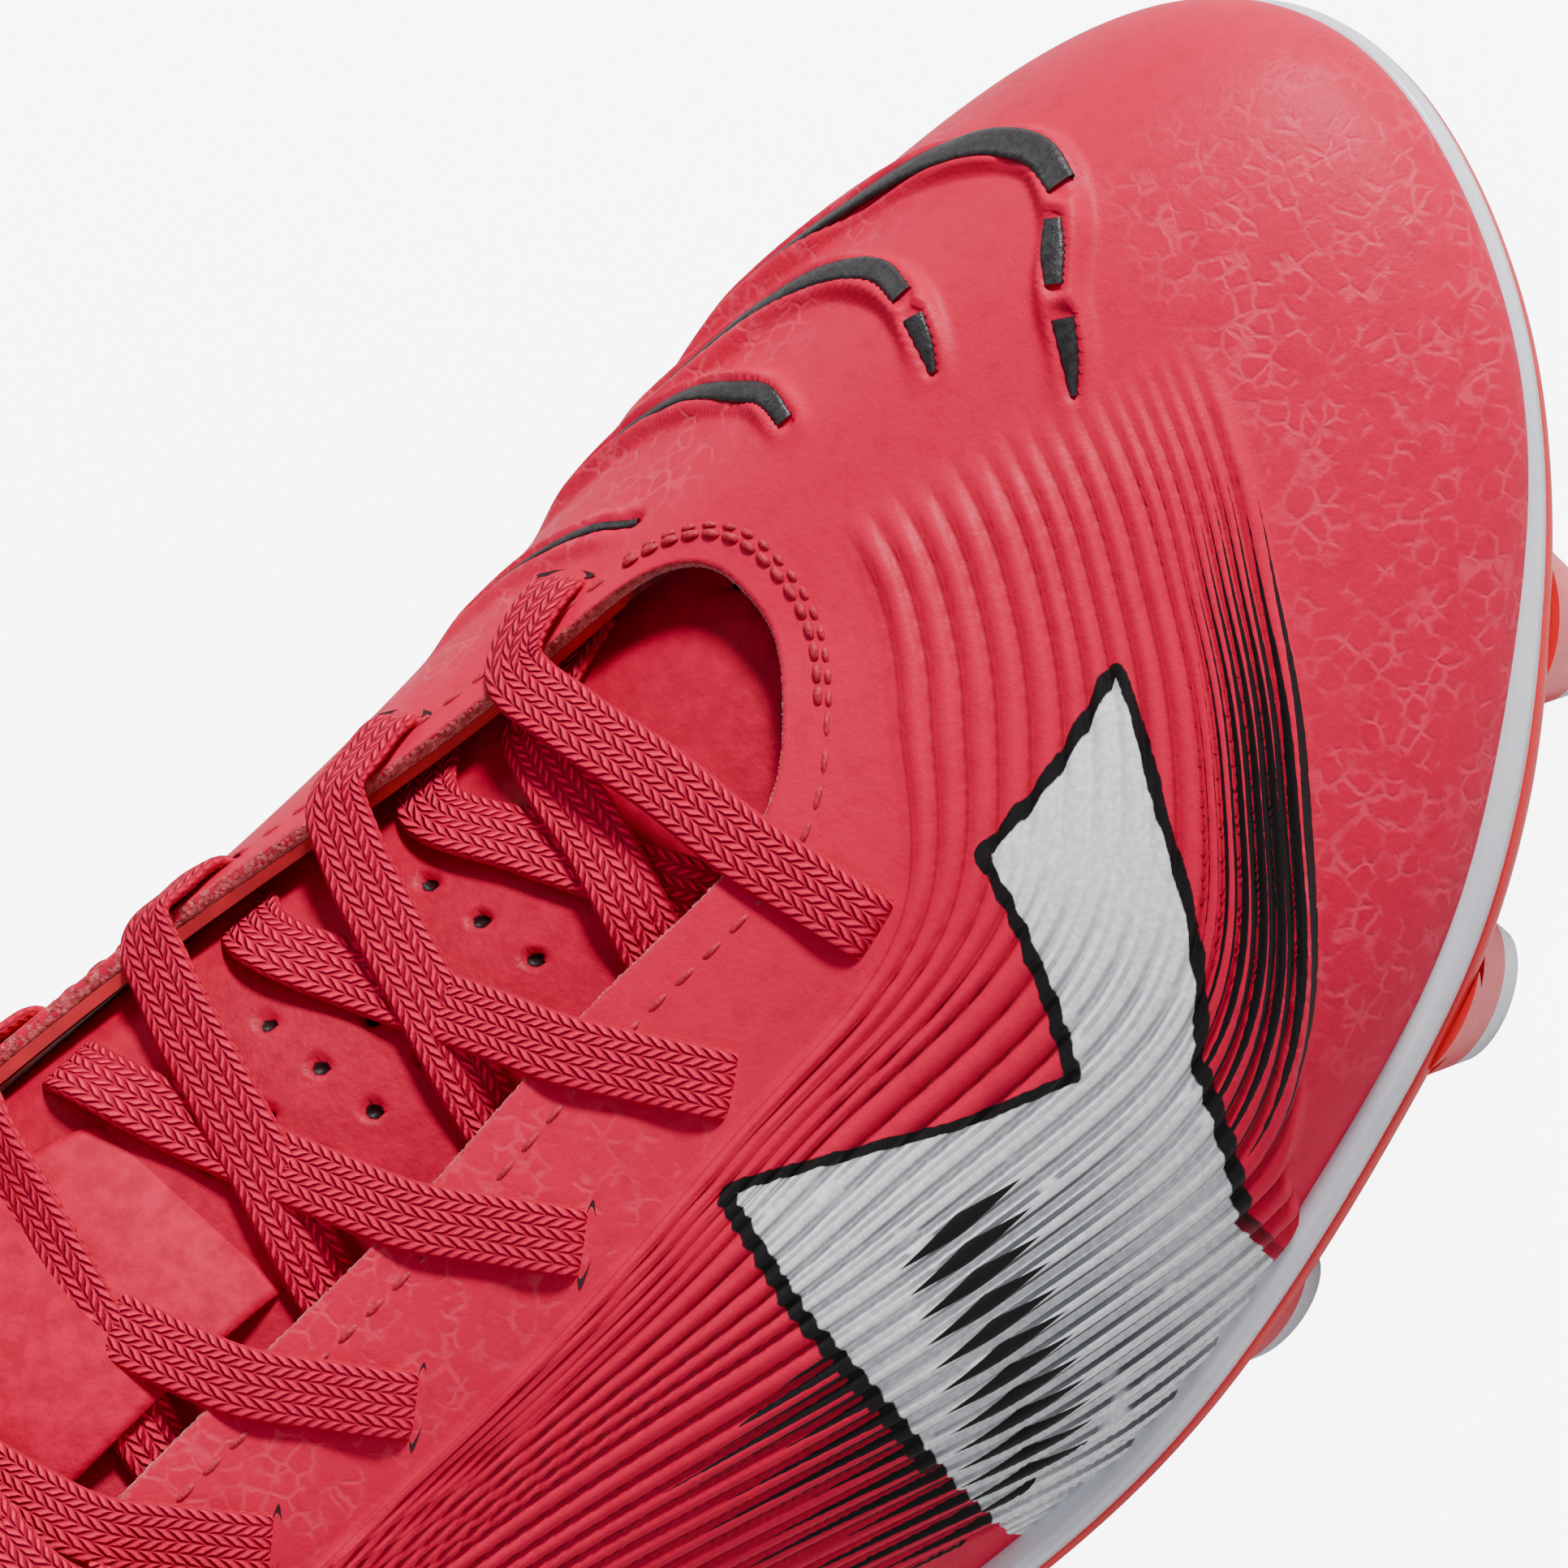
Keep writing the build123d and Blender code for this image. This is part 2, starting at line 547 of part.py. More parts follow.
# The bow: a knot over the top pair of holes, a loop and a tail on each side.
KNOT_PLACE = place_of(LATERAL_HOLES[5], 0) - 0.035
KNOT_SHARE = 0.54
KNOT_SIZE = (9.0, 11.0, 6.5)
KNOT_DEPTH = -3.0
knot_at = across_point(KNOT_PLACE, KNOT_SHARE, KNOT_DEPTH)
knot_up = across_up(KNOT_PLACE, KNOT_SHARE)
with BuildPart() as lace_knot:
    with BuildSketch(Plane(tuple(knot_at), x_dir=(1, 0, 0), z_dir=tuple(knot_up)).offset(-KNOT_SIZE[2] / 2)):
        RectangleRounded(KNOT_SIZE[0], KNOT_SIZE[1], 3.2)
    extrude(amount=KNOT_SIZE[2])
    fillet(lace_knot.faces().sort_by(Axis.Z)[-1].edges(), radius=2.2)
save(lace_knot, "lace_knot")


def on_wall(route):
    """Points and outward directions for (station, v, depth) places on the walls."""
    return [wall(*place) for place in route], [outward(u, v) for u, v, _ in route]


TOP_BANDS = {
    "lace_end_lateral": (place_of(LATERAL_HOLES[5], 0), [(0, ABOVE), (0.14, ABOVE), (0.28, ABOVE), (0.4, -1.4)]),
    "lace_end_medial": (place_of(MEDIAL_HOLES[5], 1), [(1, ABOVE), (0.9, ABOVE), (0.8, ABOVE), (0.68, -1.4)]),
}
for name, (hole_place, route) in TOP_BANDS.items():
    points, ups = [], []
    for step, (share, depth) in enumerate(route):
        place = hole_place + (KNOT_PLACE - hole_place) * step / (len(route) - 1)
        points.append(across_point(place, share, depth))
        ups.append(across_up(place, share))
    save(ribbon(points, ups, LACE_WIDTH, LACE_THICK), name)

# Each loop goes out along the wall, turns back on itself and returns above. Each tail runs
# down and back below the collar to a hard tip. Places are (v, depth) on a station of the wall,
# or (station, v, depth).
LOOP_ROUTE = [(0.97, -2.6), (0.90, -2.5), (0.78, -2.5), (0.66, -2.6), (0.58, -3.4), (0.55, -5.2),
              (0.58, -7.0), (0.66, -7.8), (0.78, -7.9), (0.90, -7.4), (0.97, -6.6)]
LATERAL_LOOP = [(6.4, v, depth) for v, depth in LOOP_ROUTE]
MEDIAL_LOOP = [(20.55, v, depth) for v, depth in LOOP_ROUTE]
LATERAL_TAIL = [(6.02, 0.94, -0.9), (5.85, 0.84, -0.9), (5.65, 0.73, -0.9), (5.42, 0.61, -0.9),
                (5.2, 0.49, -0.9), (5.0, 0.38, -0.9)]
MEDIAL_TAIL = [(20.98, 0.94, -0.9), (21.15, 0.84, -0.9), (21.32, 0.73, -0.9), (21.5, 0.61, -0.9),
               (21.7, 0.49, -0.9), (21.88, 0.38, -0.9)]
AGLET_LENGTH = 14.0
AGLET_RADIUS = 1.6
LOOP_WIDTH = LACE_WIDTH - 0.5

for name, route in (("bow_loop_lateral", LATERAL_LOOP), ("bow_loop_medial", MEDIAL_LOOP)):
    points = [wall(*place) for place in route]
    along = outside(route[0][0] + 0.2, route[0][1]) - outside(route[0][0] - 0.2, route[0][1])
    tip = points[len(points) // 2]
    loop_plane = Plane(tuple(points[0]), x_dir=tuple(tip - points[0]), z_dir=tuple(along))
    local = [loop_plane.to_local_coords(Vector(*point)) for point in points]
    flat = np.array([(point.X, point.Y) for point in local])
    ahead = np.gradient(flat, axis=0)
    ahead /= np.linalg.norm(ahead, axis=1)[:, None]
    beside = np.stack([-ahead[:, 1], ahead[:, 0]], axis=1) * LACE_THICK / 2
    with BuildPart() as bow_loop:
        with BuildSketch(loop_plane):
            with BuildLine():
                one_face = Spline(*map(tuple, flat + beside))
                other_face = Spline(*map(tuple, flat - beside))
                Line(one_face @ 0, other_face @ 0)
                Line(one_face @ 1, other_face @ 1)
            make_face()
        extrude(amount=LOOP_WIDTH / 2, both=True)
    save(bow_loop, name)

for name, route in (("lateral", LATERAL_TAIL), ("medial", MEDIAL_TAIL)):
    points, ups = on_wall(route)
    start = tongue_point(0.95, 0.36 if name == "lateral" else 0.64, -3.0)
    save(ribbon([start, *points], [ups[0], *ups], LACE_WIDTH, LACE_THICK), f"lace_tail_{name}")
    ahead = points[-1] - points[-2]
    ahead /= np.linalg.norm(ahead)
    root = points[-1] + ahead * 0.2 + ups[-1] * 0.9
    with BuildPart() as aglet:
        with BuildSketch(Plane(tuple(root), z_dir=tuple(ahead))):
            Circle(AGLET_RADIUS)
        extrude(amount=AGLET_LENGTH)
        fillet(aglet.faces().sort_by(Axis.Z)[0].edges(), radius=0.6)
    save(aglet, f"aglet_{name}")


# ---------------------------------------------------------------- strike fins
# Dark rubber inlays on the inner side of the toe, each a bent main stroke and, on two of
# them, shorter strokes beyond the bend. Places are (station, v).
STRIKE_FINS = [
    [(16.5, 0.52), (16.0, 0.555), (15.4, 0.56), (15.0, 0.562), (14.6, 0.572), (14.33, 0.59)],
    [(14.18, 0.622), (14.0, 0.645), (13.83, 0.663)],
    [(13.63, 0.675), (13.42, 0.688), (13.22, 0.7)],
    [(16.7, 0.645), (16.2, 0.66), (15.6, 0.695), (15.05, 0.725), (14.68, 0.748)],
    [(14.43, 0.762), (14.18, 0.775), (13.93, 0.788)],
    [(17.4, 0.6), (16.9, 0.67), (16.4, 0.74), (15.9, 0.805), (15.4, 0.842), (14.95, 0.872)],
    [(17.9, 0.7), (17.5, 0.75), (16.9, 0.83), (16.3, 0.9)],
]
FIN_WIDTH, FIN_THICK = 2.2, 0.5
with BuildPart() as strike_fins:
    for stroke in STRIKE_FINS:
        points, ups = on_wall([(u, v, -FIN_THICK / 2 - 0.12) for u, v in stroke])
        add(ribbon(points, ups, FIN_WIDTH, FIN_THICK).part)
save(strike_fins, "strike_fins")
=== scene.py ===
# %% [markdown]
# # A red laced football boot
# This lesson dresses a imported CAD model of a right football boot: a ribbed coated upper, a flat
# braided lace over a perforated tongue, and a two-shot studded sole. Everything is drawn in the
# CAD's own frame: +X to the toe, +Y to the inner side, +Z up. Shapes are worked out in
# millimetres, because shoe sizes read naturally that way, and turned to metres when a mesh is made.

import json
import math

import bpy
import numpy as np
from mathutils import Matrix, Vector


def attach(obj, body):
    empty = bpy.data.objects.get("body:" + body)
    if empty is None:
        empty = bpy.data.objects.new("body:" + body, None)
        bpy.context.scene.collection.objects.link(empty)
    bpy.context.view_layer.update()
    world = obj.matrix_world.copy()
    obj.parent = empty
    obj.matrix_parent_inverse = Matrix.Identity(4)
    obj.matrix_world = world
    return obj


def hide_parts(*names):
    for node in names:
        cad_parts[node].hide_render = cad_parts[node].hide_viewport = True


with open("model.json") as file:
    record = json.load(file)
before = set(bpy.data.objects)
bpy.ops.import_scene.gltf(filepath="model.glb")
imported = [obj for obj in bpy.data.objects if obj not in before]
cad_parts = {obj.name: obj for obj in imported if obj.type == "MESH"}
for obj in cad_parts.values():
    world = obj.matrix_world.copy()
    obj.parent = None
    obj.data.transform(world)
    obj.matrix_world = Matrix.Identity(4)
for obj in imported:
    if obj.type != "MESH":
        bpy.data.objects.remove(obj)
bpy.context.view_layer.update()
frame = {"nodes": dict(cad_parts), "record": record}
NODES = frame["nodes"]
rng = np.random.default_rng(7)

# %% [markdown]
# ## The last
# The CAD describes the upper by 27 wall sections that run round the boot, from the heel's middle
# along the outer side, round the toe and back. Repeating that small table here, rather than
# reading the mesh back, gives every later piece a smooth (station, height) address: `u` counts
# stations and `v` runs from 0 at the sole to 1 at the throat or collar.

# %% The shape of the last
MM = 0.001
SHIFT = (0.5, 3.25)
STATIONS = [
    ((-140, 0), (-146, 0, 38), (-132, 0, 60), (-135, 0, 86)),
    ((-136, -16), (-140, -22, 37), (-128, -17, 59), (-130, -14, 84)),
    ((-120, -27), (-122, -34, 36), (-115, -26, 56), (-114, -23, 77)),
    ((-97, -32), (-97, -38, 35), (-92, -31, 53), (-91, -27, 69.5)),
    ((-67, -36), (-67, -41, 36), (-70, -34, 55), (-71, -28, 70)),
    ((-40, -40), (-40, -44, 40), (-50, -35, 64), (-54, -24, 84)),
    ((-15, -44), (-17, -46.5, 41), (-32, -34, 72), (-39, -17, 95)),
    ((8, -49.5), (7, -50, 37), (-6, -33, 67), (-12, -11, 83)),
    ((29, -52.5), (30, -53.5, 33), (20, -34, 60), (14, -8.5, 71.5)),
    ((49, -51.5), (51, -54, 30), (41, -34, 52.5), (36, -6, 64)),
    ((68, -48.5), (71, -53, 29), (63, -32.5, 48.5), (55, -5, 58)),
    ((88, -43.5), (92, -48, 29), (82, -25.5, 47), (65, 1.5, 56)),
    ((110, -32), (115, -36.5, 30), (98, -14, 46.5), (69, 7.5, 55)),
    ((129, -16), (135, -18.5, 33), (110, 1, 46.5), (70, 12.5, 55)),
    ((139, 8), (144, 8.5, 38), (114, 15.5, 47.5), (69.5, 17, 55)),
    ((131.5, 28.5), (137, 31.5, 36.5), (110, 26.5, 46.5), (67, 20.5, 55.5)),
    ((111, 41), (115, 44.5, 32), (95, 35, 45.5), (61, 23, 57)),
    ((87, 46), (88.5, 49, 31), (70.5, 40, 47), (49, 24.5, 60)),
    ((59, 43.5), (60, 47, 32), (46.5, 40.5, 51), (33, 26.5, 66)),
    ((29, 36), (29, 40, 36), (18.5, 38.5, 59), (12, 29, 76)),
    ((-1, 28.5), (-2, 33, 40), (-10, 36, 68), (-14, 30, 87)),
    ((-25, 26), (-27, 33, 42), (-33, 34, 77), (-41, 28, 97.5)),
    ((-50, 26.5), (-50, 33, 42), (-53, 31, 67), (-55, 27, 87)),
    ((-76, 28.5), (-76, 35, 40), (-73, 31, 58), (-72, 27, 74)),
    ((-101, 29), (-101, 36, 37), (-93, 29, 56), (-92, 26, 72)),
    ((-123, 23.5), (-125, 30, 36), (-116, 24, 57), (-115, 22, 79)),
    ((-136, 13), (-141, 19, 37), (-128, 16, 59), (-131, 13.5, 84.5)),
]
COUNT = len(STATIONS)
SOLE_TOP = np.array([(-150, 17.5), (-100, 15.5), (-50, 17.5), (0, 17.5), (40, 15), (70, 14.5), (100, 17),
                     (125, 21.5), (150, 29)])


def sole_top(x):
    """Height of the sole plate's top at x."""
    xs, zs = SOLE_TOP.T
    slopes = np.gradient(zs, xs)
    x = np.asarray(x, float)
    i = np.clip(np.searchsorted(xs, x) - 1, 0, len(xs) - 2)
    width = xs[i + 1] - xs[i]
    t = (x - xs[i]) / width
    rise = (2 * t**3 - 3 * t**2 + 1) * zs[i] + (3 * t**2 - 2 * t**3) * zs[i + 1]
    return rise + width * ((t**3 - 2 * t**2 + t) * slopes[i] + (t**3 - t**2) * slopes[i + 1])


rows = np.array([[(f[0], f[1], float(sole_top(f[0]))), a, b, c] for f, a, b, c in STATIONS], float)
rows[:, :, :2] += SHIFT
eye = np.eye(COUNT)
spread = (4 * eye + np.roll(eye, 1, axis=0) + np.roll(eye, -1, axis=0)) / 6
NET = np.linalg.solve(spread, rows.reshape(COUNT, -1)).reshape(rows.shape)


def outside(u, v):
    """Points on the outside of the upper, in millimetres, for arrays u and v."""
    u, v = np.broadcast_arrays(np.asarray(u, float), np.asarray(v, float))
    i = np.floor(u).astype(int)
    t = u - i
    weights = ((1 - t) ** 3, 3 * t**3 - 6 * t**2 + 4, -3 * t**3 + 3 * t**2 + 3 * t + 1, t**3)
    section = sum(w[..., None, None] / 6 * NET[(i + k - 1) % COUNT] for k, w in enumerate(weights))
    bezier = ((1 - v) ** 3, 3 * (1 - v) ** 2 * v, 3 * (1 - v) * v**2, v**3)
    return sum(b[..., None] * section[..., k, :] for k, b in enumerate(bezier))


def unit(a):
    """Vectors of length one."""
    return a / np.maximum(np.linalg.norm(a, axis=-1, keepdims=True), 1e-12)


def distance_along(points):
    """How far along a line each of its points lies."""
    return np.concatenate([[0], np.cumsum(np.linalg.norm(np.diff(points, axis=0), axis=1))])


def stretched(values, count):
    """Rows of values spread evenly over count places."""
    old, new = np.linspace(0, 1, len(values)), np.linspace(0, 1, count)
    return np.stack([np.interp(new, old, column) for column in np.asarray(values).T], axis=1)


def outward(u, v):
    """Unit normals that point out of the boot."""
    u, v = np.broadcast_arrays(np.asarray(u, float), np.asarray(v, float))
    along = outside(u + 0.02, v) - outside(u - 0.02, v)
    across = outside(u, np.minimum(v + 0.01, 1)) - outside(u, np.maximum(v - 0.01, 0))
    return unit(np.cross(along, across))


def wall(u, v, depth=0.0):
    """Points at a depth under the outside of the upper, and above it where depth is negative."""
    return outside(u, v) - outward(u, v) * np.asarray(depth)[..., None]


def smooth(x, low, high):
    """0 below low, 1 above high and an S-curve between."""
    t = np.clip((np.asarray(x, float) - low) / (high - low), 0, 1)
    return t * t * (3 - 2 * t)


print("last: throat top at", np.round(outside(6.0, 1.0), 1), "toe tip at", np.round(outside(14.0, 0.3), 1))

# %% [markdown]
# ## Mesh helpers
# Nearly every piece of a shoe is a sheet or a strip, so one grid builder makes most of them.
# Values that change over a surface, such as the distance to a printed edge, are stored on the
# vertices as float attributes. The shader then cuts them at a threshold, which stays sharp
# however coarse the mesh is.


# %% Grid, strip and stitch builders
def finish_mesh(name, verts, faces, looks, body="shoe", values=None):
    """A mesh object from points in millimetres, riding on a CAD body."""
    mesh = bpy.data.meshes.new(name)
    mesh.from_pydata((np.asarray(verts, float) * MM).tolist(), [], faces)
    mesh.update()
    for key, data in (values or {}).items():
        layer = mesh.attributes.new(key, "FLOAT", "POINT")
        layer.data.foreach_set("value", np.asarray(data, np.float32).ravel())
    mesh.polygons.foreach_set("use_smooth", np.ones(len(mesh.polygons), bool))
    piece = bpy.data.objects.new(name, mesh)
    bpy.context.scene.collection.objects.link(piece)
    mesh.materials.append(looks)
    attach(piece, body)
    return piece


def grid_faces(n, m, closed_n=False, closed_m=False, start=0):
    """Quads of an n by m grid of vertices, as lists of indices."""
    i = np.arange(n if closed_n else n - 1)[:, None]
    j = np.arange(m if closed_m else m - 1)[None, :]
    a = i * m + j
    b = ((i + 1) % n) * m + j
    c = ((i + 1) % n) * m + (j + 1) % m
    d = i * m + (j + 1) % m
    quads = np.stack([a, b, c, d], axis=-1).reshape(-1, 4) + start
    return quads.tolist()


def grid_piece(name, points, looks, closed_n=False, closed_m=False, **more):
    """A sheet from an (n, m, 3) grid of points."""
    n, m = points.shape[:2]
    return finish_mesh(name, points.reshape(-1, 3), grid_faces(n, m, closed_n, closed_m), looks, **more)


def resample(points, step):
    """Points at an even step along a line, with a smooth curve through the given ones."""
    points = np.asarray(points, float)
    marks = distance_along(points)
    slopes = np.gradient(points, marks, axis=0)
    at = np.linspace(0, marks[-1], max(3, int(marks[-1] / step) + 1))
    i = np.clip(np.searchsorted(marks, at) - 1, 0, len(marks) - 2)
    width = (marks[i + 1] - marks[i])[:, None]
    t = ((at - marks[i])[:, None]) / width
    value = (2 * t**3 - 3 * t**2 + 1) * points[i] + (3 * t**2 - 2 * t**3) * points[i + 1]
    return value + width * ((t**3 - 2 * t**2 + t) * slopes[i] + (t**3 - t**2) * slopes[i + 1])


def soft_line(points, passes):
    """The same line with its corners eased."""
    points = points.copy()
    for _ in range(passes):
        points[1:-1] = 0.5 * points[1:-1] + 0.25 * (points[:-2] + points[2:])
    return points


def strip(points, ups, width, thick, ring=20, squareness=5.0):
    """Rings of a flat band, and how far along and across it each vertex lies."""
    ahead = unit(np.gradient(points, axis=0))
    side = unit(np.cross(ahead, ups))
    up = np.cross(side, ahead)
    angle = np.linspace(0, 2 * math.pi, ring, endpoint=False)
    c, s = np.cos(angle), np.sin(angle)
    power = 2 / squareness
    x = np.sign(c) * np.abs(c) ** power
    z = np.sign(s) * np.abs(s) ** 0.7
    width = np.broadcast_to(np.asarray(width, float), (len(points),))[:, None, None]
    thick = np.broadcast_to(np.asarray(thick, float), (len(points),))[:, None, None]
    grid = points[:, None] + side[:, None] * (x * 0.5)[None, :, None] * width
    grid = grid + up[:, None] * (z * 0.5)[None, :, None] * thick
    along = distance_along(points)
    across = x[None, :] * width[:, :, 0] / 2
    return grid, np.broadcast_to(along[:, None], across.shape), across


def joined(grids):
    """Vertices and faces of several closed strips in one mesh."""
    verts, faces, first = [], [], 0
    for grid in grids:
        faces += grid_faces(*grid.shape[:2], closed_m=True, start=first)
        verts.append(grid.reshape(-1, 3))
        first += len(verts[-1])
    return np.concatenate(verts), faces


def capped(name, grid, looks, values=None, **more):
    """A closed tube from rings, with its ends filled."""
    n, m = grid.shape[:2]
    faces = grid_faces(n, m, closed_m=True)
    faces += [list(range(m)), [(n - 1) * m + k for k in range(m)][::-1]]
    return finish_mesh(name, grid.reshape(-1, 3), faces, looks, values=values, **more)


def capsules(name, starts, ends, ups, radius, looks, flatness=0.7, **more):
    """Many short rounded threads in one mesh: a row of stitches."""
    ring, stations = 8, np.array([-1, -0.86, -0.5, 0, 0.5, 0.86, 1.0])
    profile = np.sqrt(np.maximum(0, 1 - np.abs(stations) ** 3)) + 0.02
    threads = []
    angle = np.linspace(0, 2 * math.pi, ring, endpoint=False)
    for a, b, up in zip(starts, ends, ups):
        ahead = unit(b - a)
        side = unit(np.cross(ahead, up))
        lift = np.cross(side, ahead)
        middle, half = (a + b) / 2, np.linalg.norm(b - a) / 2
        bow = (1 - stations**2) * radius * 0.6
        rings = middle + ahead * (stations * half)[:, None] + lift * bow[:, None]
        threads.append(rings[:, None] + profile[:, None, None] * radius * (
            side * np.cos(angle)[None, :, None] + lift * np.sin(angle)[None, :, None] * flatness))
    return finish_mesh(name, *joined(threads), looks, **more)


# %% [markdown]
# ## Shader maths
# Node materials are easier to read as formulas. `Term` wraps one output socket and lets it be
# added, multiplied and divided like a number. A plain number is written straight on to the
# socket. Anything that isn't arithmetic goes through one method, `Looks.node`.


# %% The small formula class
class Term:
    """One value in a material, which ordinary operators build on."""

    def __init__(self, looks, socket):
        self.looks, self.socket = looks, socket

    def _do(self, operation, *terms):
        return self.looks.node("ShaderNodeMath", {"operation": operation}, dict(enumerate(terms)))

    def __add__(self, other):
        return self._do("ADD", self, other)

    def __radd__(self, other):
        return self._do("ADD", other, self)

    def __sub__(self, other):
        return self._do("SUBTRACT", self, other)

    def __rsub__(self, other):
        return self._do("SUBTRACT", other, self)

    def __mul__(self, other):
        return self._do("MULTIPLY", self, other)

    def __rmul__(self, other):
        return self._do("MULTIPLY", other, self)

    def __truediv__(self, other):
        return self._do("DIVIDE", self, other)

    def __abs__(self):
        return self._do("ABSOLUTE", self)

    def fraction(self):
        return self._do("FRACT", self)

    def step(self, low, high):
        """A smooth step from 0 at low to 1 at high."""
        return self.looks.node("ShaderNodeMapRange", {"interpolation_type": "SMOOTHSTEP"},
                               {"Value": self, "From Min": low, "From Max": high})


class Looks:
    """A material built round one Principled shader."""

    def __init__(self, name, colour, roughness=0.5, **fixed):
        self.material = bpy.data.materials.new(name)
        self.material.use_nodes = True
        self.tree = self.material.node_tree
        self.shader = self.tree.nodes["Principled BSDF"]
        self.put("Base Color", (*colour, 1.0))
        self.put("Roughness", roughness)
        for key, value in fixed.items():
            self.put(key.replace("_", " "), value)

    def put(self, key, value, node=None):
        """Set or link one input of a node, the main shader by default."""
        socket = (node or self.shader).inputs[key]
        if isinstance(value, Term):
            self.tree.links.new(value.socket, socket)
        else:
            socket.default_value = value
        return self

    def node(self, kind, settings, inputs, output=0):
        """Any node, with its settings and inputs. Gives the chosen output."""
        node = self.tree.nodes.new(kind)
        for key, value in settings.items():
            setattr(node, key, value)
        for key, value in inputs.items():
            self.put(key, value, node)
        return Term(self, node.outputs[output])

    def value(self, name):
        """A float stored on the mesh."""
        return self.node("ShaderNodeAttribute", {"attribute_name": name}, {}, "Fac")

    def place(self):
        """Position in the frame, in metres."""
        return self.node("ShaderNodeTexCoord", {}, {}, "Object")

    def noise(self, scale, detail=2.0, rough=0.5):
        """Soft random mottle, finer where the scale is larger."""
        return self.node("ShaderNodeTexNoise", {}, {"Vector": self.place(), "Scale": scale,
                                                    "Detail": detail, "Roughness": rough}, "Fac")

    def mix(self, share, first, second):
        """Between two colours."""
        colours = [c if isinstance(c, Term) else (*c, 1.0) for c in (first, second)]
        return self.node("ShaderNodeMix", {"data_type": "RGBA"},
                         {0: share, 6: colours[0], 7: colours[1]}, 2)

    def relief(self, height, distance=0.0002, strength=1.0):
        """Small surface relief: height times distance, in metres."""
        self.put("Normal", self.node("ShaderNodeBump", {}, {"Height": height, "Distance": distance,
                                                            "Strength": strength}))
        return self


def ink(red, green, blue):
    """A colour from 0 to 255 screen values, as the shader counts light."""
    return tuple(c / 12.92 if c <= 0.04045 else ((c + 0.055) / 1.055) ** 2.4
                 for c in (red / 255, green / 255, blue / 255))


RED = (0.66, 0.0, 0.045)
DEEP_RED = (0.36, 0.0, 0.018)
PINK = (0.8, 0.06, 0.12)
WHITE = (0.94, 0.94, 0.97)
GREY = (0.08, 0.085, 0.095)
BLACK = ink(22, 18, 20)

# %% [markdown]
# ## Finishes
# The upper is a satin coated synthetic with a fine grain. Away from the smooth forefoot band the
# coating shows a network of paler cells, like cracked leather. The print is worked out from the
# attributes on the mesh: `rib` counts ribs outwards from the throat, `shard` is the distance to
# the edge of the white splinter, and `band` places the dark lines.

# %% Upper finish
upper_looks = Looks("upper_skin", RED, 0.5, Specular_IOR_Level=0.2)
L = upper_looks
rib = L.value("rib")
ribbed = L.value("ribbed")
shard = L.value("shard")
rib_part = rib.fraction()
ridge = 1.0 - abs(rib_part - 0.5) * 2.0
sway = L.node("ShaderNodeTexNoise", {}, {"Vector": L.place(), "Scale": 500.0}, "Color")
SWAY = 0.0011
swayed = L.node("ShaderNodeVectorMath", {"operation": "MULTIPLY_ADD"},
                {0: sway, 1: (SWAY, SWAY, SWAY), 2: L.place()}, 0)
cells = L.node("ShaderNodeTexVoronoi", {"feature": "DISTANCE_TO_EDGE"},
               {"Vector": swayed, "Scale": 480.0}, "Distance")
broken = L.noise(330.0, 3.0).step(0.4, 0.62)
crackle = (1.0 - cells.step(0.01, 0.17)) * broken * L.value("crackle")
mottle = L.noise(420.0, 3.0, 0.65)
base = L.mix(mottle.step(0.3, 0.7), DEEP_RED, RED)
base = L.mix(mottle.step(0.2, 0.6) * 0.25 + 0.72, base, RED)
base = L.mix(crackle * 0.55, base, PINK)
# Painted shade: the colour is darkened towards DEEP_RED in the valley between ribs, where shade falls.
base = L.mix((1.0 - ridge.step(0.0, 0.26)) * ribbed * 0.9, base, DEEP_RED)
jag = (L.noise(700.0, 2.0) - 0.5) * 0.5 + (ridge - 0.5) * 0.25
edge = shard + jag
fine_part = (rib * 2.0).fraction()
black_lines = L.value("band") - abs(fine_part - 0.5) * 2.0 + (L.noise(900.0, 2.0) - 0.5) * 0.3
base = L.mix(black_lines.step(-0.04, 0.04), base, BLACK)
base = L.mix(edge.step(-1.15, -1.0) * L.value("outlined"), base, BLACK)
hatch = (1.0 - abs(fine_part - 0.5) * 2.0).step(0.62, 0.72) * L.value("hatched")
hatch = hatch * L.noise(170.0, 2.0).step(0.3, 0.4)
pearl = L.mix(L.noise(1500.0, 2.0).step(0.35, 0.65), (0.74, 0.75, 0.8), WHITE)
white = L.mix(hatch, pearl, GREY)
burst = L.value("burst") - abs(rib_part - 0.5) * 2.0
white = L.mix(burst.step(-0.04, 0.04), white, BLACK)
base = L.mix(edge.step(0.0, 0.18), base, white)
L.put("Base Color", base)
grain = L.noise(1600.0, 3.0, 0.6)
L.put("Roughness", grain * 0.2 + 0.4)
L.relief(grain * 0.5 + crackle * -0.5 + mottle * 0.3, 0.00012)

# %% [markdown]
# The other finishes are simpler. The lace is a flat braid: columns of small slanted stitches whose
# slant alternates, so the columns read as chevrons. The pattern is drawn from how far along and
# across the band a point lies. The tongue is the same coated synthetic, left smooth and
# punched with small holes.

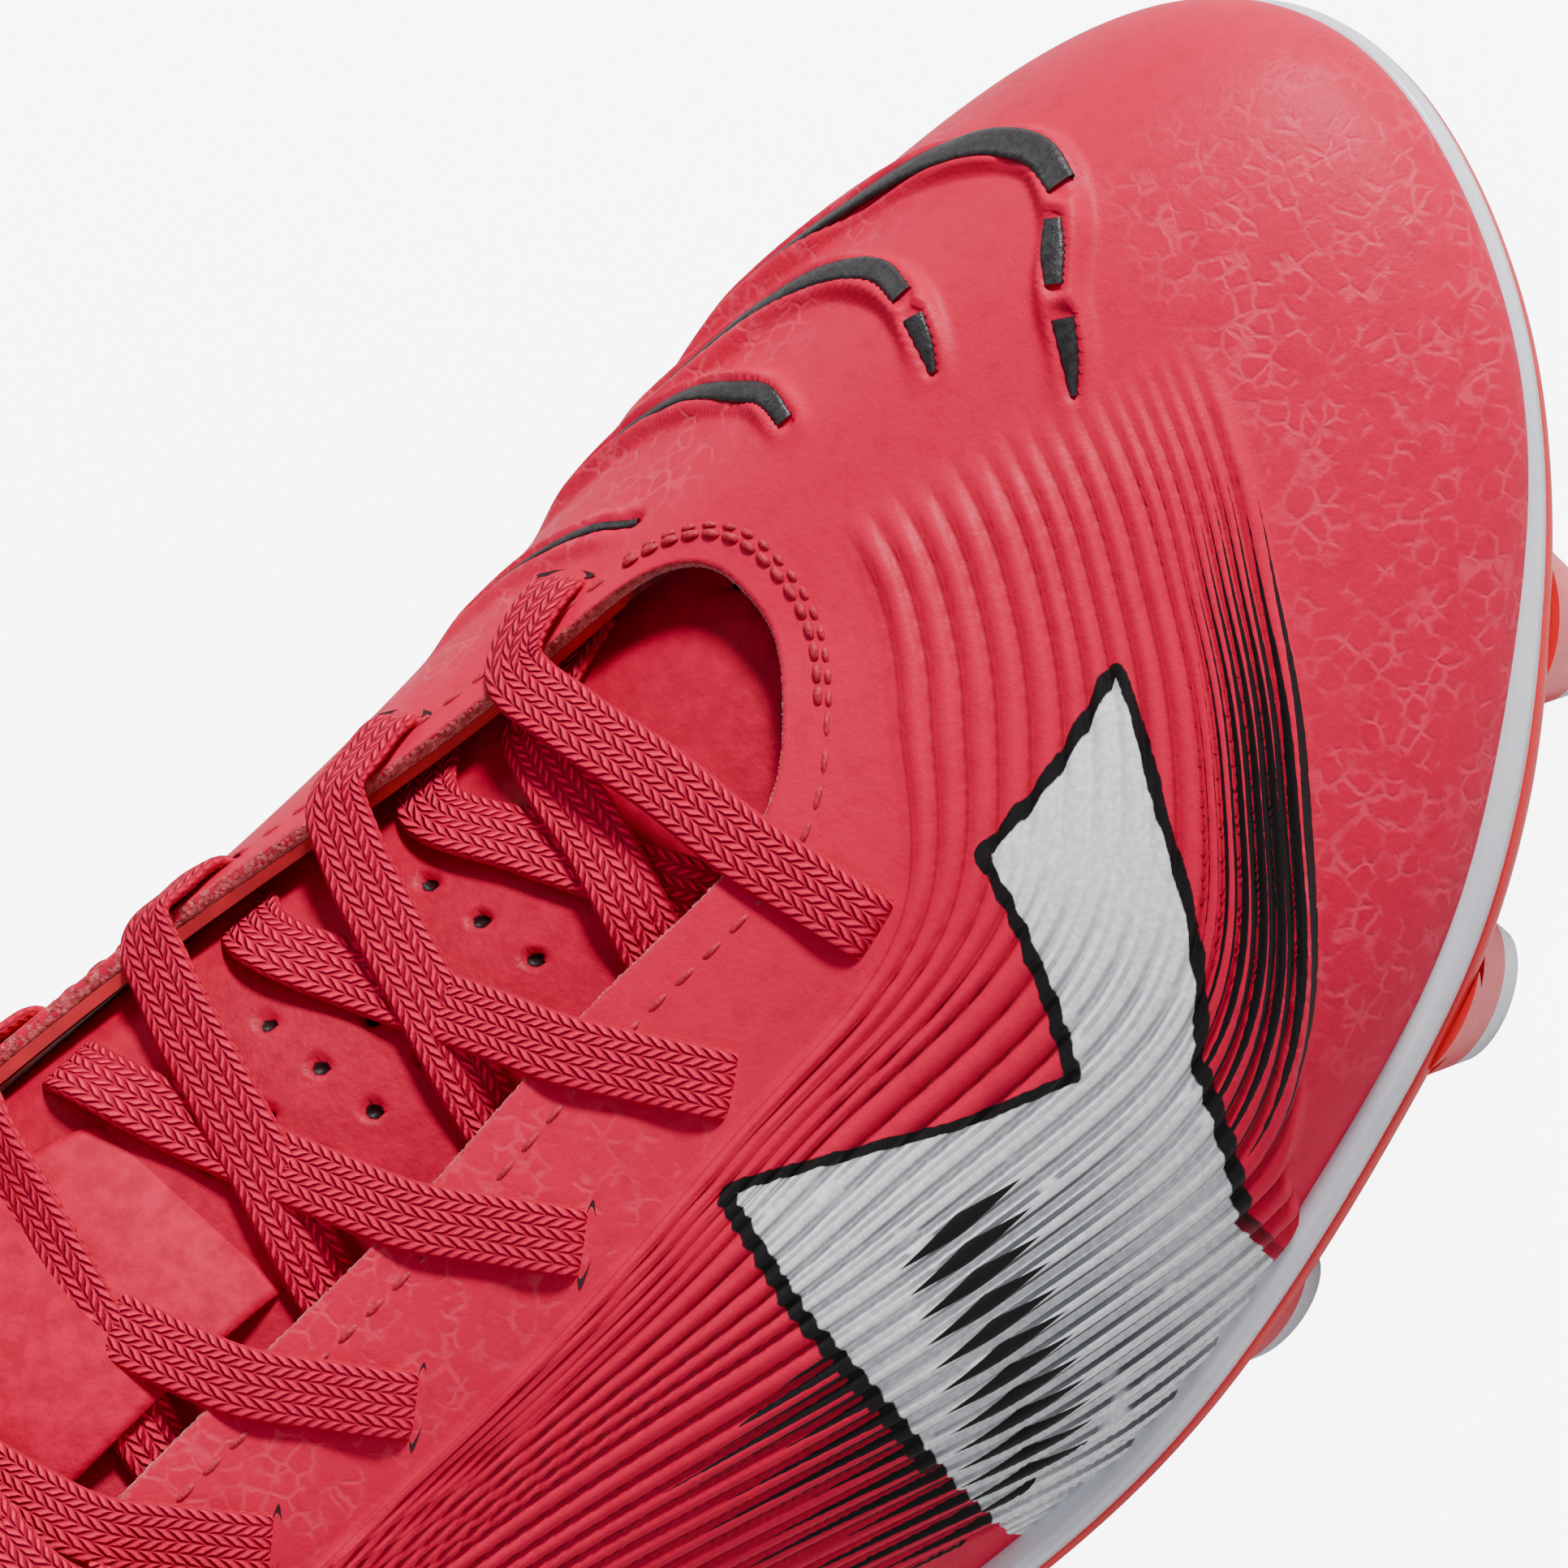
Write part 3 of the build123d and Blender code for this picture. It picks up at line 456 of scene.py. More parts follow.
# %% Lace, tongue and lining finishes
lace_looks = Looks("lace_weave", RED, 0.75, Specular_IOR_Level=0.15)
L = lace_looks
COLUMN_WIDTH, STITCH_LENGTH = 1.05, 1.25
column = L.value("across") / COLUMN_WIDTH + 20.0
lean = abs((column * 0.5).fraction() - 0.5) * 2.0
stitch = (L.value("along") / STITCH_LENGTH + lean * 1.1).fraction()
stitch_bump = (1.0 - abs(stitch - 0.5) * 2.0).step(0.0, 0.75)
bump_height = stitch_bump * (1.0 - abs(column.fraction() - 0.5) * 2.0).step(-0.1, 0.5)
fibre = L.noise(2600.0, 2.0)
# Painted shade and highlight: the braid is coloured dark in the gaps between stitches and bright on their
# raised crests, following the relief height; the fibre noise is the yarn's own tone.
L.put("Base Color", L.mix(bump_height * 0.75 + fibre * 0.3, (0.36, 0.0, 0.02), (0.98, 0.006, 0.075)))
L.relief(bump_height + fibre * 0.35, 0.00042)

tongue_looks = Looks("tongue_skin", RED, 0.5, Specular_IOR_Level=0.15)
L = tongue_looks
hole = L.value("hole")
skin = L.mix(L.noise(500.0, 3.0).step(0.3, 0.7), (0.44, 0.0, 0.026), (0.54, 0.0, 0.034))
# Painted shade: each perforation is coloured near-black, standing in for the shade inside the punched hole
# over its shallow dip.
L.put("Base Color", L.mix((1.0 - hole.step(0.72, 0.86)), skin, ink(38, 6, 12)))
L.put("Roughness", L.noise(1500.0) * 0.2 + 0.36)
L.relief(L.noise(1500.0, 3.0), 0.00008)

lining_looks = Looks("lining_fabric", ink(168, 22, 44), 0.9, Sheen_Weight=0.3)
L = lining_looks
weave = L.node("ShaderNodeTexVoronoi", {}, {"Vector": L.place(), "Scale": 1100.0}, "Distance")
L.put("Base Color", L.mix(weave.step(0.1, 0.6), (0.5, 0.004, 0.014), (0.25, 0.002, 0.008)))
L.relief(weave, 0.0003)

cut_looks = Looks("cut_edge", ink(196, 60, 76), 0.95, Sheen_Weight=0.4)
L = cut_looks
L.put("Base Color", L.mix(L.noise(1800.0, 3.0).step(0.35, 0.65), (0.36, 0.004, 0.016), (0.62, 0.09, 0.11)))
L.relief(L.noise(2200.0, 3.0), 0.0004)

thread_looks = Looks("thread", ink(214, 34, 58), 0.7)
L = thread_looks
L.put("Base Color", L.mix(L.noise(3000.0).step(0.3, 0.7), (0.3, 0.0, 0.016), (0.6, 0.004, 0.04)))

inlay_looks = Looks("fin_rubber", ink(52, 48, 50), 0.42)
L = inlay_looks
L.put("Base Color", L.mix(L.noise(1200.0, 3.0).step(0.3, 0.7), ink(24, 22, 24), ink(46, 43, 45)))
L.relief(L.noise(2000.0, 2.0), 0.0001)

smooth_looks = Looks("smooth_skin", RED, 0.6, Specular_IOR_Level=0.12)
L = smooth_looks
L.put("Base Color", L.mix(L.noise(500.0, 3.0).step(0.3, 0.7), (0.5, 0.0, 0.03), RED))
L.put("Roughness", L.noise(1500.0) * 0.2 + 0.5)
L.relief(L.noise(1500.0, 3.0), 0.00008)

# Painted shade: the slit recesses are coloured near-black to stand for the shadow inside each cut; the noise
# only varies that dark tone.
slit_shade_looks = Looks("slit_painted_shade", ink(36, 6, 12), 0.9)
L = slit_shade_looks
L.put("Base Color", L.mix(L.noise(900.0), ink(24, 4, 8), ink(60, 10, 20)))
print("finishes made:", len(bpy.data.materials))

# %% [markdown]
# The sole is moulded in two shots: red plate and stud bases, and a cool white, slightly
# translucent rim and stud tips. Moulded plastic needs a faint flow mottle and fine scuffs in the
# roughness, otherwise its highlight looks computed.


# %% Sole finishes
def moulded(name, dark, light, rough, **fixed):
    looks = Looks(name, light, rough, **fixed)
    looks.put("Base Color", looks.mix(looks.noise(60.0, 3.0).step(0.3, 0.7), dark, light))
    scuffs = looks.noise(900.0, 4.0, 0.7)
    looks.put("Roughness", scuffs * 0.25 + (rough - 0.12))
    looks.relief(scuffs, 0.00004)
    return looks


plate_red = moulded("plate_red", (0.66, 0.006, 0.016), (0.8, 0.01, 0.022), 0.3)
plate_white = moulded("plate_white", ink(222, 223, 236), ink(238, 238, 248), 0.28, Subsurface_Weight=0.25,
                      Subsurface_Scale=0.002)
aglet_looks = moulded("aglet_plastic", (0.7, 0.004, 0.02), (0.82, 0.008, 0.03), 0.25)
foam_looks = Looks("foam", ink(205, 196, 176), 0.95)
L = foam_looks
L.put("Base Color", L.mix(L.noise(700.0, 3.0).step(0.35, 0.65), ink(186, 176, 154), ink(214, 206, 188)))
L.relief(L.noise(1400.0, 2.0), 0.0004)
board_looks = Looks("board", ink(196, 186, 165), 0.9)
L = board_looks
L.put("Base Color", L.mix(L.noise(300.0, 4.0).step(0.3, 0.7), ink(182, 170, 148), ink(206, 196, 176)))
stiff_looks = Looks("stiffener", DEEP_RED, 0.8)
L = stiff_looks
L.put("Base Color", L.mix(L.noise(260.0, 3.0).step(0.3, 0.7), (0.4, 0.003, 0.012), (0.55, 0.006, 0.018)))

# %% [markdown]
# ## Ribs, print and fins as fields
# The moulded ribs run parallel to the throat on the toe, turn below the lace, and fan out along
# the outer side. A table gives, for several stations, how many millimetres below the throat edge
# the ribs number 0, 5, 10, 15 and 20 lie. Everything between is interpolated, and smoothed along
# the boot so that no rib has a corner.

# %% Rib numbering
RIB_STATIONS = [4.0, 6.0, 7.0, 7.5, 8.0, 8.5, 9.0, 9.5, 10.0, 10.5, 11.0, 12.0, 13.0, 14.5]
RIB_NUMBERS = np.array([-10, 0, 5, 10, 15, 20, 26])
RIB_DEPTHS = np.array([
    (6, 21, 24, 27, 34, 48, 66),
    (6, 20, 23, 27, 36, 50, 68),
    (6, 19.5, 23, 29, 41, 55, 73),
    (6, 19, 23.5, 31, 45, 59, 77),
    (6, 18.4, 24, 34, 49, 64, 82),
    (6, 18.2, 24.5, 37, 52, 67, 85),
    (5, 18, 24.5, 39, 55, 70, 88),
    (4, 17.6, 25, 40, 56, 71, 89),
    (1, 15.6, 25.5, 41, 52.5, 67, 85),
    (-3, 12.8, 26.5, 40.7, 49.7, 63, 81),
    (-6, 11, 26.4, 39.3, 47, 60, 78),
    (-8, 10.6, 25, 36.4, 44, 57, 75),
    (-8, 10.8, 25.5, 37, 45.5, 58, 76),
    (-8, 11, 27, 40, 50, 62, 80),
], float)


def rib_depths(u):
    """Depth below the throat edge of each numbered rib at stations u, eased along the boot."""
    fine = np.linspace(3, 16, 521)
    table = np.stack([np.interp(fine, RIB_STATIONS, column) for column in RIB_DEPTHS.T], axis=1)
    kernel = np.exp(-0.5 * (np.arange(-16, 17) / 7.0) ** 2)
    kernel /= kernel.sum()
    padded = np.pad(table, ((16, 16), (0, 0)), mode="edge")
    eased = np.stack([np.convolve(column, kernel, "valid") for column in padded.T], axis=1)
    return np.stack([np.interp(u, fine, column) for column in eased.T], axis=1)


def polygon_distance(x, y, corners):
    """Signed distance to a closed outline: positive inside."""
    inside = np.zeros(x.shape, bool)
    best = np.full(x.shape, 1e9)
    for (ax, ay), (bx, by) in zip(corners, corners[1:] + corners[:1]):
        ex, ey = bx - ax, by - ay
        t = np.clip(((x - ax) * ex + (y - ay) * ey) / (ex * ex + ey * ey), 0, 1)
        best = np.minimum(best, np.hypot(x - ax - t * ex, y - ay - t * ey))
        crosses = (ay > y) != (by > y)
        with np.errstate(divide="ignore", invalid="ignore"):
            at = ax + (y - ay) / (by - ay) * ex
        inside ^= crosses & (x < at)
    return np.where(inside, best, -best)


# The white splinter, as (station, millimetres below the throat edge). It is one jagged patch.
U_SCALE = 17.0
SHARD = [(11.57, 31.0), (10.97, 25.8), (10.45, 20.5), (10.05, 28.5), (9.62, 38.0), (9.2, 33.0), (8.55, 21.5),
         (8.2, 34.0), (7.9, 48.0), (7.62, 60.0), (7.35, 74.0),
         (7.2, 95.0), (8.95, 95.0), (9.02, 72.0), (9.21, 61.4), (9.55, 53.0), (9.87, 45.1), (10.92, 35.0)]
SHARD_MM = [(u * U_SCALE, depth) for u, depth in SHARD]

# Raised fins on the inner side of the toe: centre lines with the inlay's half width.
FINS = [
    [(16.9, 0.5, 0.25), (16.5, 0.52, 0.5), (16.0, 0.555, 0.8), (15.4, 0.56, 1.1), (15.0, 0.562, 1.4),
     (14.6, 0.572, 1.7), (14.33, 0.59, 1.5)],
    [(14.18, 0.622, 0.9), (14.0, 0.645, 1.25), (13.83, 0.663, 0.9)],
    [(13.63, 0.675, 1.15), (13.42, 0.688, 0.9), (13.2, 0.701, 0.35)],
    [(16.9, 0.635, 0.25), (16.7, 0.645, 0.45), (16.2, 0.66, 0.8), (15.6, 0.695, 1.1), (15.05, 0.725, 1.3),
     (14.68, 0.748, 1.15)],
    [(14.43, 0.762, 1.1), (14.18, 0.775, 0.9), (13.93, 0.788, 0.35)],
    [(17.4, 0.6, 0.3), (16.9, 0.67, 0.5), (16.4, 0.74, 0.75), (15.9, 0.805, 1.0), (15.4, 0.842, 1.2),
     (14.95, 0.872, 0.9)],
    [(17.9, 0.7, 0.25), (17.5, 0.75, 0.4), (16.9, 0.83, 0.6), (16.3, 0.9, 0.45)],
]
# The ridges run on beyond the inlays: (station, v) lines with a height.
RIDGES = [
    ([(17.4, 0.47), (16.5, 0.52), (15.4, 0.56), (14.6, 0.572), (14.2, 0.61), (13.8, 0.665), (13.42, 0.688),
      (13.0, 0.72)], 1.0),
    ([(17.5, 0.6), (16.7, 0.645), (15.6, 0.695), (14.68, 0.748), (14.2, 0.775), (13.7, 0.805)], 0.85),
    ([(17.9, 0.53), (17.4, 0.6), (16.4, 0.74), (15.4, 0.842), (14.9, 0.875), (14.4, 0.9)], 0.7),
    ([(18.2, 0.66), (17.5, 0.75), (16.3, 0.9)], 0.4),
]


def line_distance(points, line):
    """Distance from each point to a polyline in space, and how far along it the nearest place is."""
    best = np.full(len(points), 1e9)
    where = np.zeros(len(points))
    for k in range(len(line) - 1):
        a, d = line[k], line[k + 1] - line[k]
        t = np.clip((points - a) @ d / (d @ d), 0, 1)
        gap = np.linalg.norm(points - a - t[:, None] * d, axis=1)
        closer = gap < best
        best[closer] = gap[closer]
        where[closer] = (k + t[closer])
    return best, where / (len(line) - 1)


# %% [markdown]
# ## The upper
# One dense sheet covers the outside, turns over the cut throat edge and runs down the inside. The
# ribs, fins and the padded collar are real displacement, because they shape the highlights that
# make this boot recognisable.

# %% Build the upper
COARSE, FINE = 0.125, 0.036
us = np.concatenate([np.arange(0, 5.5, COARSE), np.arange(5.5, 18.5, FINE),
                     np.arange(18.5, COUNT - 0.01, COARSE)])
vs = np.concatenate([np.linspace(0, 0.12, 14, endpoint=False), np.linspace(0.12, 1, 190)])
U, V = np.meshgrid(us, vs, indexing="ij")
skin_at = outside(U, V)
skin_out = outward(U, V)
gaps = np.linalg.norm(np.diff(skin_at, axis=1), axis=2)
below_edge = np.concatenate([np.cumsum(gaps[:, ::-1], axis=1)[:, ::-1], np.zeros((len(us), 1))], axis=1)
table = rib_depths(us)
RIB = np.stack([np.interp(below_edge[k], table[k], RIB_NUMBERS) for k in range(len(us))])
rear_limit = np.interp(U, [5, 8.9, 9.5, 10, 14], [24, 24, 16.6, 15.4, 15.4])
RIBBED = (smooth(RIB, -0.6, 0.4) * (1 - smooth(RIB, rear_limit, rear_limit + 0.8))
          * smooth(U, 4.6, 6.4) * (1 - smooth(U, 12.5, 13.3)))
part = RIB - np.floor(RIB)
profile = 1 - np.abs(2 * part - 1) ** 2.6
lift = 1.0 * RIBBED * profile
flat_points = skin_at.reshape(-1, 3)
ridge_height = np.zeros(len(flat_points))
near_toe = (U.ravel() > 12) & (U.ravel() < 19)      # the ridges and fins lie only here


def ridge_lift(points):
    """Height of the fin ridges over points of the bare wall."""
    highest = np.zeros(len(points))
    for line, height in RIDGES:
        path = resample(wall(*np.array(line).T), 1.5)
        gap, where = line_distance(points, path)
        taper = smooth(where, 0, 0.2) * (1 - smooth(where, 0.82, 1.0))
        highest = np.maximum(highest, 1.9 * height * taper * (1 - smooth(gap, 1.2, 2.9)))
    return highest


ridge_height[near_toe] = ridge_lift(flat_points[near_toe])
groove = np.zeros(len(flat_points))
for fin in FINS:
    spots = np.array(fin)
    path = resample(wall(spots[:, 0], spots[:, 1]), 1.0)
    widths = np.interp(np.linspace(0, 1, len(path)), np.linspace(0, 1, len(fin)), spots[:, 2])
    gap, where = line_distance(flat_points[near_toe], path)
    half = np.interp(where, np.linspace(0, 1, len(path)), widths)
    groove[near_toe] = np.maximum(groove[near_toe], 1 - smooth(gap, half * 0.9, half * 0.9 + 0.45))
lift = lift + ridge_height.reshape(U.shape) - 0.7 * groove.reshape(U.shape)
collar_side = 1 - smooth(np.minimum(U, COUNT - U), 3.8, 4.9)
lift = lift + collar_side * 1.4 * np.exp(-((V - 0.88) / 0.09) ** 2)
lift = lift * (1 - smooth(V, 0.985, 1.0) * 0.9) * smooth(V, 0.0, 0.03)
outer = skin_at + skin_out * lift[..., None]
turn = [wall(us, np.ones(len(us)), depth) + np.array([0, 0, rise])[None]
        for depth, rise in ((0.3, 0.12), (0.8, 0.16), (1.3, 0.1))]
inner = [wall(us, np.full(len(us), v), 1.5) for v in np.linspace(0.995, 0.02, 14)]
full = np.concatenate([outer, np.stack(turn + inner, axis=1)], axis=1)
extra = full.shape[1] - len(vs)


def spread_in(field, fill):
    """A field of the outer skin, carried over the turned edge with one fill value."""
    return np.concatenate([field, np.full((len(us), extra), float(fill))], axis=1)


SHARD_AT = polygon_distance((U * U_SCALE).ravel(), below_edge.ravel(), SHARD_MM).reshape(U.shape)
band_bell = np.exp(-((U - 10.9) / 1.25) ** 2)
rib_id = np.floor(RIB)
band_reach = np.interp(rib_id, [9, 10, 11, 12, 13, 14, 15], [-1, 0.25, 0.5, 0.8, 0.95, 1.0, 0.8])
BAND = band_reach * band_bell * 1.25 - 0.22
BAND = np.where((RIB > 9.9) & (RIB < 16) & (U > 9.2), BAND, -1)
rim_bias = smooth(U, 9.2, 9.6)
BAND = BAND * rim_bias - (1 - rim_bias)
rear_edge = np.interp(below_edge, [30, 48, 60, 74], [8.3, 7.95, 7.65, 7.4])
trail = 0.72 - (rear_edge - U) / (1.0 + 0.35 * np.sin(rib_id * 2.1))
BAND = np.where((below_edge > 38) & (below_edge < 70) & (U < rear_edge + 0.2) & (U > 5.5), trail, BAND)
burst_middle = 8.55 - 0.04 * (below_edge - 46)
BURST = 0.7 - np.abs(U - burst_middle) / 0.5
BURST = np.where((below_edge > 38) & (below_edge < 68), BURST, -1)
HATCHED = (1 - smooth(U, 10.0, 10.6)) * (1 - 0.55 * np.exp(-((SHARD_AT - 3.0) / 5.0) ** 2))
OUTLINED = np.maximum(smooth(U, 9.0, 9.3), smooth(60 - below_edge, 0, 4))
CRACKLE = (smooth(below_edge, 44, 52) * smooth(U, 9.6, 10.6) * (1 - smooth(U, 13.6, 14.6))
           + smooth(U, 15.0, 16.2) * smooth(below_edge, 6, 14) * (1 - 0.35 * smooth(U, 23, 25))
           + (1 - smooth(RIB, -1.5, -0.2)) * (1 - smooth(U, 8.2, 9.4)) * 0.7)
CRACKLE = np.clip(CRACKLE, 0, 1) * (1 - groove.reshape(U.shape))
upper = grid_piece("upper_shell_skin", full, upper_looks.material, closed_n=True, values={
    "rib": spread_in(RIB, -5), "ribbed": spread_in(RIBBED, 0), "shard": spread_in(SHARD_AT, -20),
    "band": spread_in(BAND, -1), "burst": spread_in(BURST, -1), "hatched": spread_in(HATCHED, 0),
    "outlined": spread_in(OUTLINED, 0), "crackle": spread_in(CRACKLE, 0)})
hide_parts("upper_shell")
print("upper:", len(upper.data.polygons), "faces")

# %% [markdown]
# The dark inlays are soft rubber strips pressed into the fins. Each is a tapered strip that sits
# just below the crest of its ridge.

# %% Fin inlays
INLAY_THICK, INLAY_SINK = 0.8, 0.6
inlay_strips = []
for fin in FINS:
    spots = np.array(fin)
    path = resample(wall(spots[:, 0], spots[:, 1]), 0.8)
    widths = 2 * np.interp(np.linspace(0, 1, len(path)), np.linspace(0, 1, len(fin)), spots[:, 2])
    above = stretched(resample(wall(spots[:, 0], spots[:, 1], -5.0), 0.8), len(path))
    ups = unit(above - path)
    path = path + ups * (ridge_lift(path) - INLAY_SINK)[:, None]
    grid, _, _ = strip(path, ups, widths, INLAY_THICK, ring=12, squareness=3.0)
    inlay_strips.append(grid)
inlays = finish_mesh("fin_inlays", *joined(inlay_strips), inlay_looks.material)
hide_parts("strike_fins")

# %% [markdown]
# ## The throat
# The tongue closes the throat. Each of its sections is a smooth curve through five points, from
# under one eyestay to under the other. `tongue_at` gives any point of it by its place along the
# throat, its share of the way across and its depth.

# %% Tongue geometry
PAIRS = np.array([(12.0, 15.6), (11.0, 16.3), (10.0, 17.0), (9.0, 18.0), (8.0, 19.0), (7.0, 20.0),
                  (6.1, 20.9)])
PLACES = np.linspace(0, 1, len(PAIRS))
FRONT_PAIRS = np.array([(13.45, 14.15), (12.9, 14.8), (12.4, 15.25)])
ALL_PAIRS = np.concatenate([FRONT_PAIRS, PAIRS])
ALL_PLACES = np.concatenate([[-0.14, -0.09, -0.04], PLACES])
UNDERLAP, CROWN = 0.78, 0.06
KNOTS = (0.0, 0.25, 0.5, 0.75, 1.0)


def tongue_at(place, across, depth):
    """Points of the tongue in millimetres. All arguments may be arrays of one shape."""
    place, across, depth = np.broadcast_arrays(*[np.asarray(a, float) for a in (place, across, depth)])
    lateral = np.interp(place, ALL_PLACES, ALL_PAIRS[:, 0])
    medial = np.interp(place, ALL_PLACES, ALL_PAIRS[:, 1])
    ends = [wall(lateral, UNDERLAP, depth), wall(lateral, 1.0, depth),
            wall(medial, 1.0, depth), wall(medial, UNDERLAP, depth)]
    width = np.linalg.norm(ends[1] - ends[2], axis=-1)
    middle = (ends[1] + ends[2]) / 2 + width[..., None] * np.array([0, 0, CROWN])
    total = 0
    for i, point in enumerate([ends[0], ends[1], middle, ends[2], ends[3]]):
        weight = 1.0
        for j, knot in enumerate(KNOTS):
            if i != j:
                weight = weight * (across - knot) / (KNOTS[i] - knot)
        total = total + weight[..., None] * point
    return total


TONGUE_DEPTH, TONGUE_FACE = 6.0, 1.2
# The perforations are punched on a square pitch, three across, along the middle of the tongue.
HOLE_PITCH, HOLE_RADIUS = 6.6, 0.85
place_line = np.linspace(-0.13, 1.0, 370)
across_line = np.linspace(0.0, 1.0, 120)
P, A = np.meshgrid(place_line, across_line, indexing="ij")
face_at = tongue_at(P, A, TONGUE_DEPTH)
middle_line = tongue_at(place_line, 0.5, TONGUE_DEPTH)
run = distance_along(middle_line)
cross = np.linalg.norm(np.diff(face_at, axis=1), axis=2)
side_run = np.concatenate([np.zeros((len(place_line), 1)), np.cumsum(cross, axis=1)], axis=1)
side_run = side_run - side_run[:, [len(across_line) // 2]]
run_grid = np.broadcast_to(run[:, None], P.shape)
near_run = (run_grid / HOLE_PITCH) - np.round(run_grid / HOLE_PITCH)
near_side = (side_run / HOLE_PITCH) - np.round(side_run / HOLE_PITCH)
hole_gap = np.hypot(near_run, near_side) * HOLE_PITCH
punched = (np.abs(np.round(side_run / HOLE_PITCH)) <= 1) & (run_grid > 36) & (run_grid < run[-1] - 30)
hole_gap = np.where(punched, hole_gap, 5.0)
dip = 0.9 * (1 - smooth(hole_gap, HOLE_RADIUS * 0.9, HOLE_RADIUS * 1.25))
tongue_up = unit(tongue_at(P, A, TONGUE_DEPTH - 1) - face_at)
front = face_at - tongue_up * dip[..., None]
edge_turn = tongue_at(P[-1:], A[-1:], TONGUE_DEPTH + TONGUE_FACE / 2) + np.array([-0.4, 0, 0])
edge_back = tongue_at(P[-1:], A[-1:], TONGUE_DEPTH + TONGUE_FACE)
tongue_grid = np.concatenate([front, edge_turn, edge_back], axis=0)
hole_values = np.concatenate([hole_gap, np.full((2, len(across_line)), 5.0)], axis=0)
tongue = grid_piece("tongue_skin_face", tongue_grid, tongue_looks.material, values={"hole": hole_values})
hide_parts("tongue_face")
print("tongue:", len(tongue.data.polygons), "faces, length", round(run[-1], 1), "mm")

# %% [markdown]
# ## The lace
# The lace is one flat braid. A straight bar crosses at the front. Behind it each length comes up
# through a slit, crosses over its own eyestay edge and the throat, then dives under the opposite
# eyestay. Positions between the slits are a place along the throat and a share of the way across.

# %% Lace routes
LATERAL_HOLES = [9.87, 8.96, 8.10, 7.30, 6.70, 6.25]
MEDIAL_HOLES = [16.85, 17.90, 18.80, 19.60, 20.20, 20.70]
LATERAL_V, MEDIAL_V = 0.84, 0.90
LATERAL_EDGE, MEDIAL_EDGE = 0.28, 0.82
LACE_WIDTH, LACE_THICK = 6.5, 1.3
ABOVE = -0.8
LOW_BAND = 5.0
HIGH_BAND = LOW_BAND - 1.45


def place_of(hole, side):
    """Place along the throat of a station on the outer (0) or inner (1) side."""
    order = np.argsort(PAIRS[:, side])
    return float(np.interp(hole, PAIRS[order, side], PLACES[order]))


def across_at(place, share, depth):
    """A point between an outer slit (share 0) and an inner slit (share 1) at a depth."""
    if share < LATERAL_EDGE:
        v = 1 - (1 - LATERAL_V) * (1 - share / LATERAL_EDGE)
        return wall(np.interp(place, PLACES, PAIRS[:, 0]), v, depth)
    if share > MEDIAL_EDGE:
        v = 1 - (1 - MEDIAL_V) * (share - MEDIAL_EDGE) / (1 - MEDIAL_EDGE)
        return wall(np.interp(place, PLACES, PAIRS[:, 1]), v, depth)
    return tongue_at(place, 0.25 + 0.5 * (share - LATERAL_EDGE) / (MEDIAL_EDGE - LATERAL_EDGE), depth)


def up_at(place, share):
    """Direction away from the foot between the slits."""
    return unit(across_at(place, share, -0.5) - across_at(place, share, 0.5))


BAR = [(-0.006, 1.6), (0.004, -0.2), (0.03, -0.75), (0.14, ABOVE), (0.28, ABOVE), (0.45, ABOVE),
       (0.65, ABOVE), (0.82, ABOVE), (0.97, -0.75), (0.998, -0.2), (1.008, 1.6)]
FROM_LATERAL = [(-0.006, 1.6), (0.004, -0.2), (0.03, -0.75), (0.14, ABOVE), (0.27, -0.9), (0.36, 1.2),
                (0.46, 3.6), (0.58, LOW_BAND), (0.8, LOW_BAND), (1, LOW_BAND)]
FROM_MEDIAL = [(1.008, 1.6), (0.998, -0.2), (0.97, -0.75), (0.91, ABOVE), (0.83, -0.9), (0.73, 0.8),
               (0.62, 2.6), (0.5, HIGH_BAND), (0.38, HIGH_BAND + 0.4), (0.28, LOW_BAND), (0.14, LOW_BAND),
               (0, LOW_BAND)]
UNDER_LATERAL = [(share, LOW_BAND) for share in (0, 0.15, 0.35, 0.6, 0.8, 1)]
UNDER_MEDIAL = [(1, LOW_BAND), (0.9, LOW_BAND), (0.8, LOW_BAND), (0.68, HIGH_BAND), (0.5, HIGH_BAND),
                (0.37, HIGH_BAND), (0.28, LOW_BAND), (0.14, LOW_BAND), (0, LOW_BAND)]


def lace_mesh(name, points, ups, width=LACE_WIDTH, **more):
    """A braided band through the points."""
    path = soft_line(resample(points, 0.6), 3)
    grid, along, across = strip(path, unit(stretched(ups, len(path))), width, LACE_THICK, ring=24)
    return capped(name, grid, lace_looks.material, values={"along": along, "across": across}, **more), path


SLITS = []


def crossing(name, start, end, route):
    """A band from an outer slit to an inner one."""
    first, last = place_of(start, 0), place_of(end, 1)
    points = np.array([across_at(first + (last - first) * s, s, d) for s, d in route])
    ups = np.array([up_at(first + (last - first) * s, s) for s, _ in route])
    band, _ = lace_mesh(f"{name}_braid", points, ups)
    for (share, depth), near, further in ((route[0], 0, 3), (route[-1], -1, -4)):
        if depth < 2:
            ahead = unit(points[near] - points[further])
            SLITS.append((across_at(first + (last - first) * share, share, -0.07), ahead, ups[near]))
    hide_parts(name)
    return band


crossing("lace_bar", LATERAL_HOLES[0], MEDIAL_HOLES[0], BAR)
for row in range(1, 6):
    crossing(f"lace_low_{row}", LATERAL_HOLES[row - 1], MEDIAL_HOLES[row],
             UNDER_LATERAL if row == 1 else FROM_LATERAL)
    crossing(f"lace_high_{row}", LATERAL_HOLES[row], MEDIAL_HOLES[row - 1],
             UNDER_MEDIAL if row == 1 else FROM_MEDIAL)
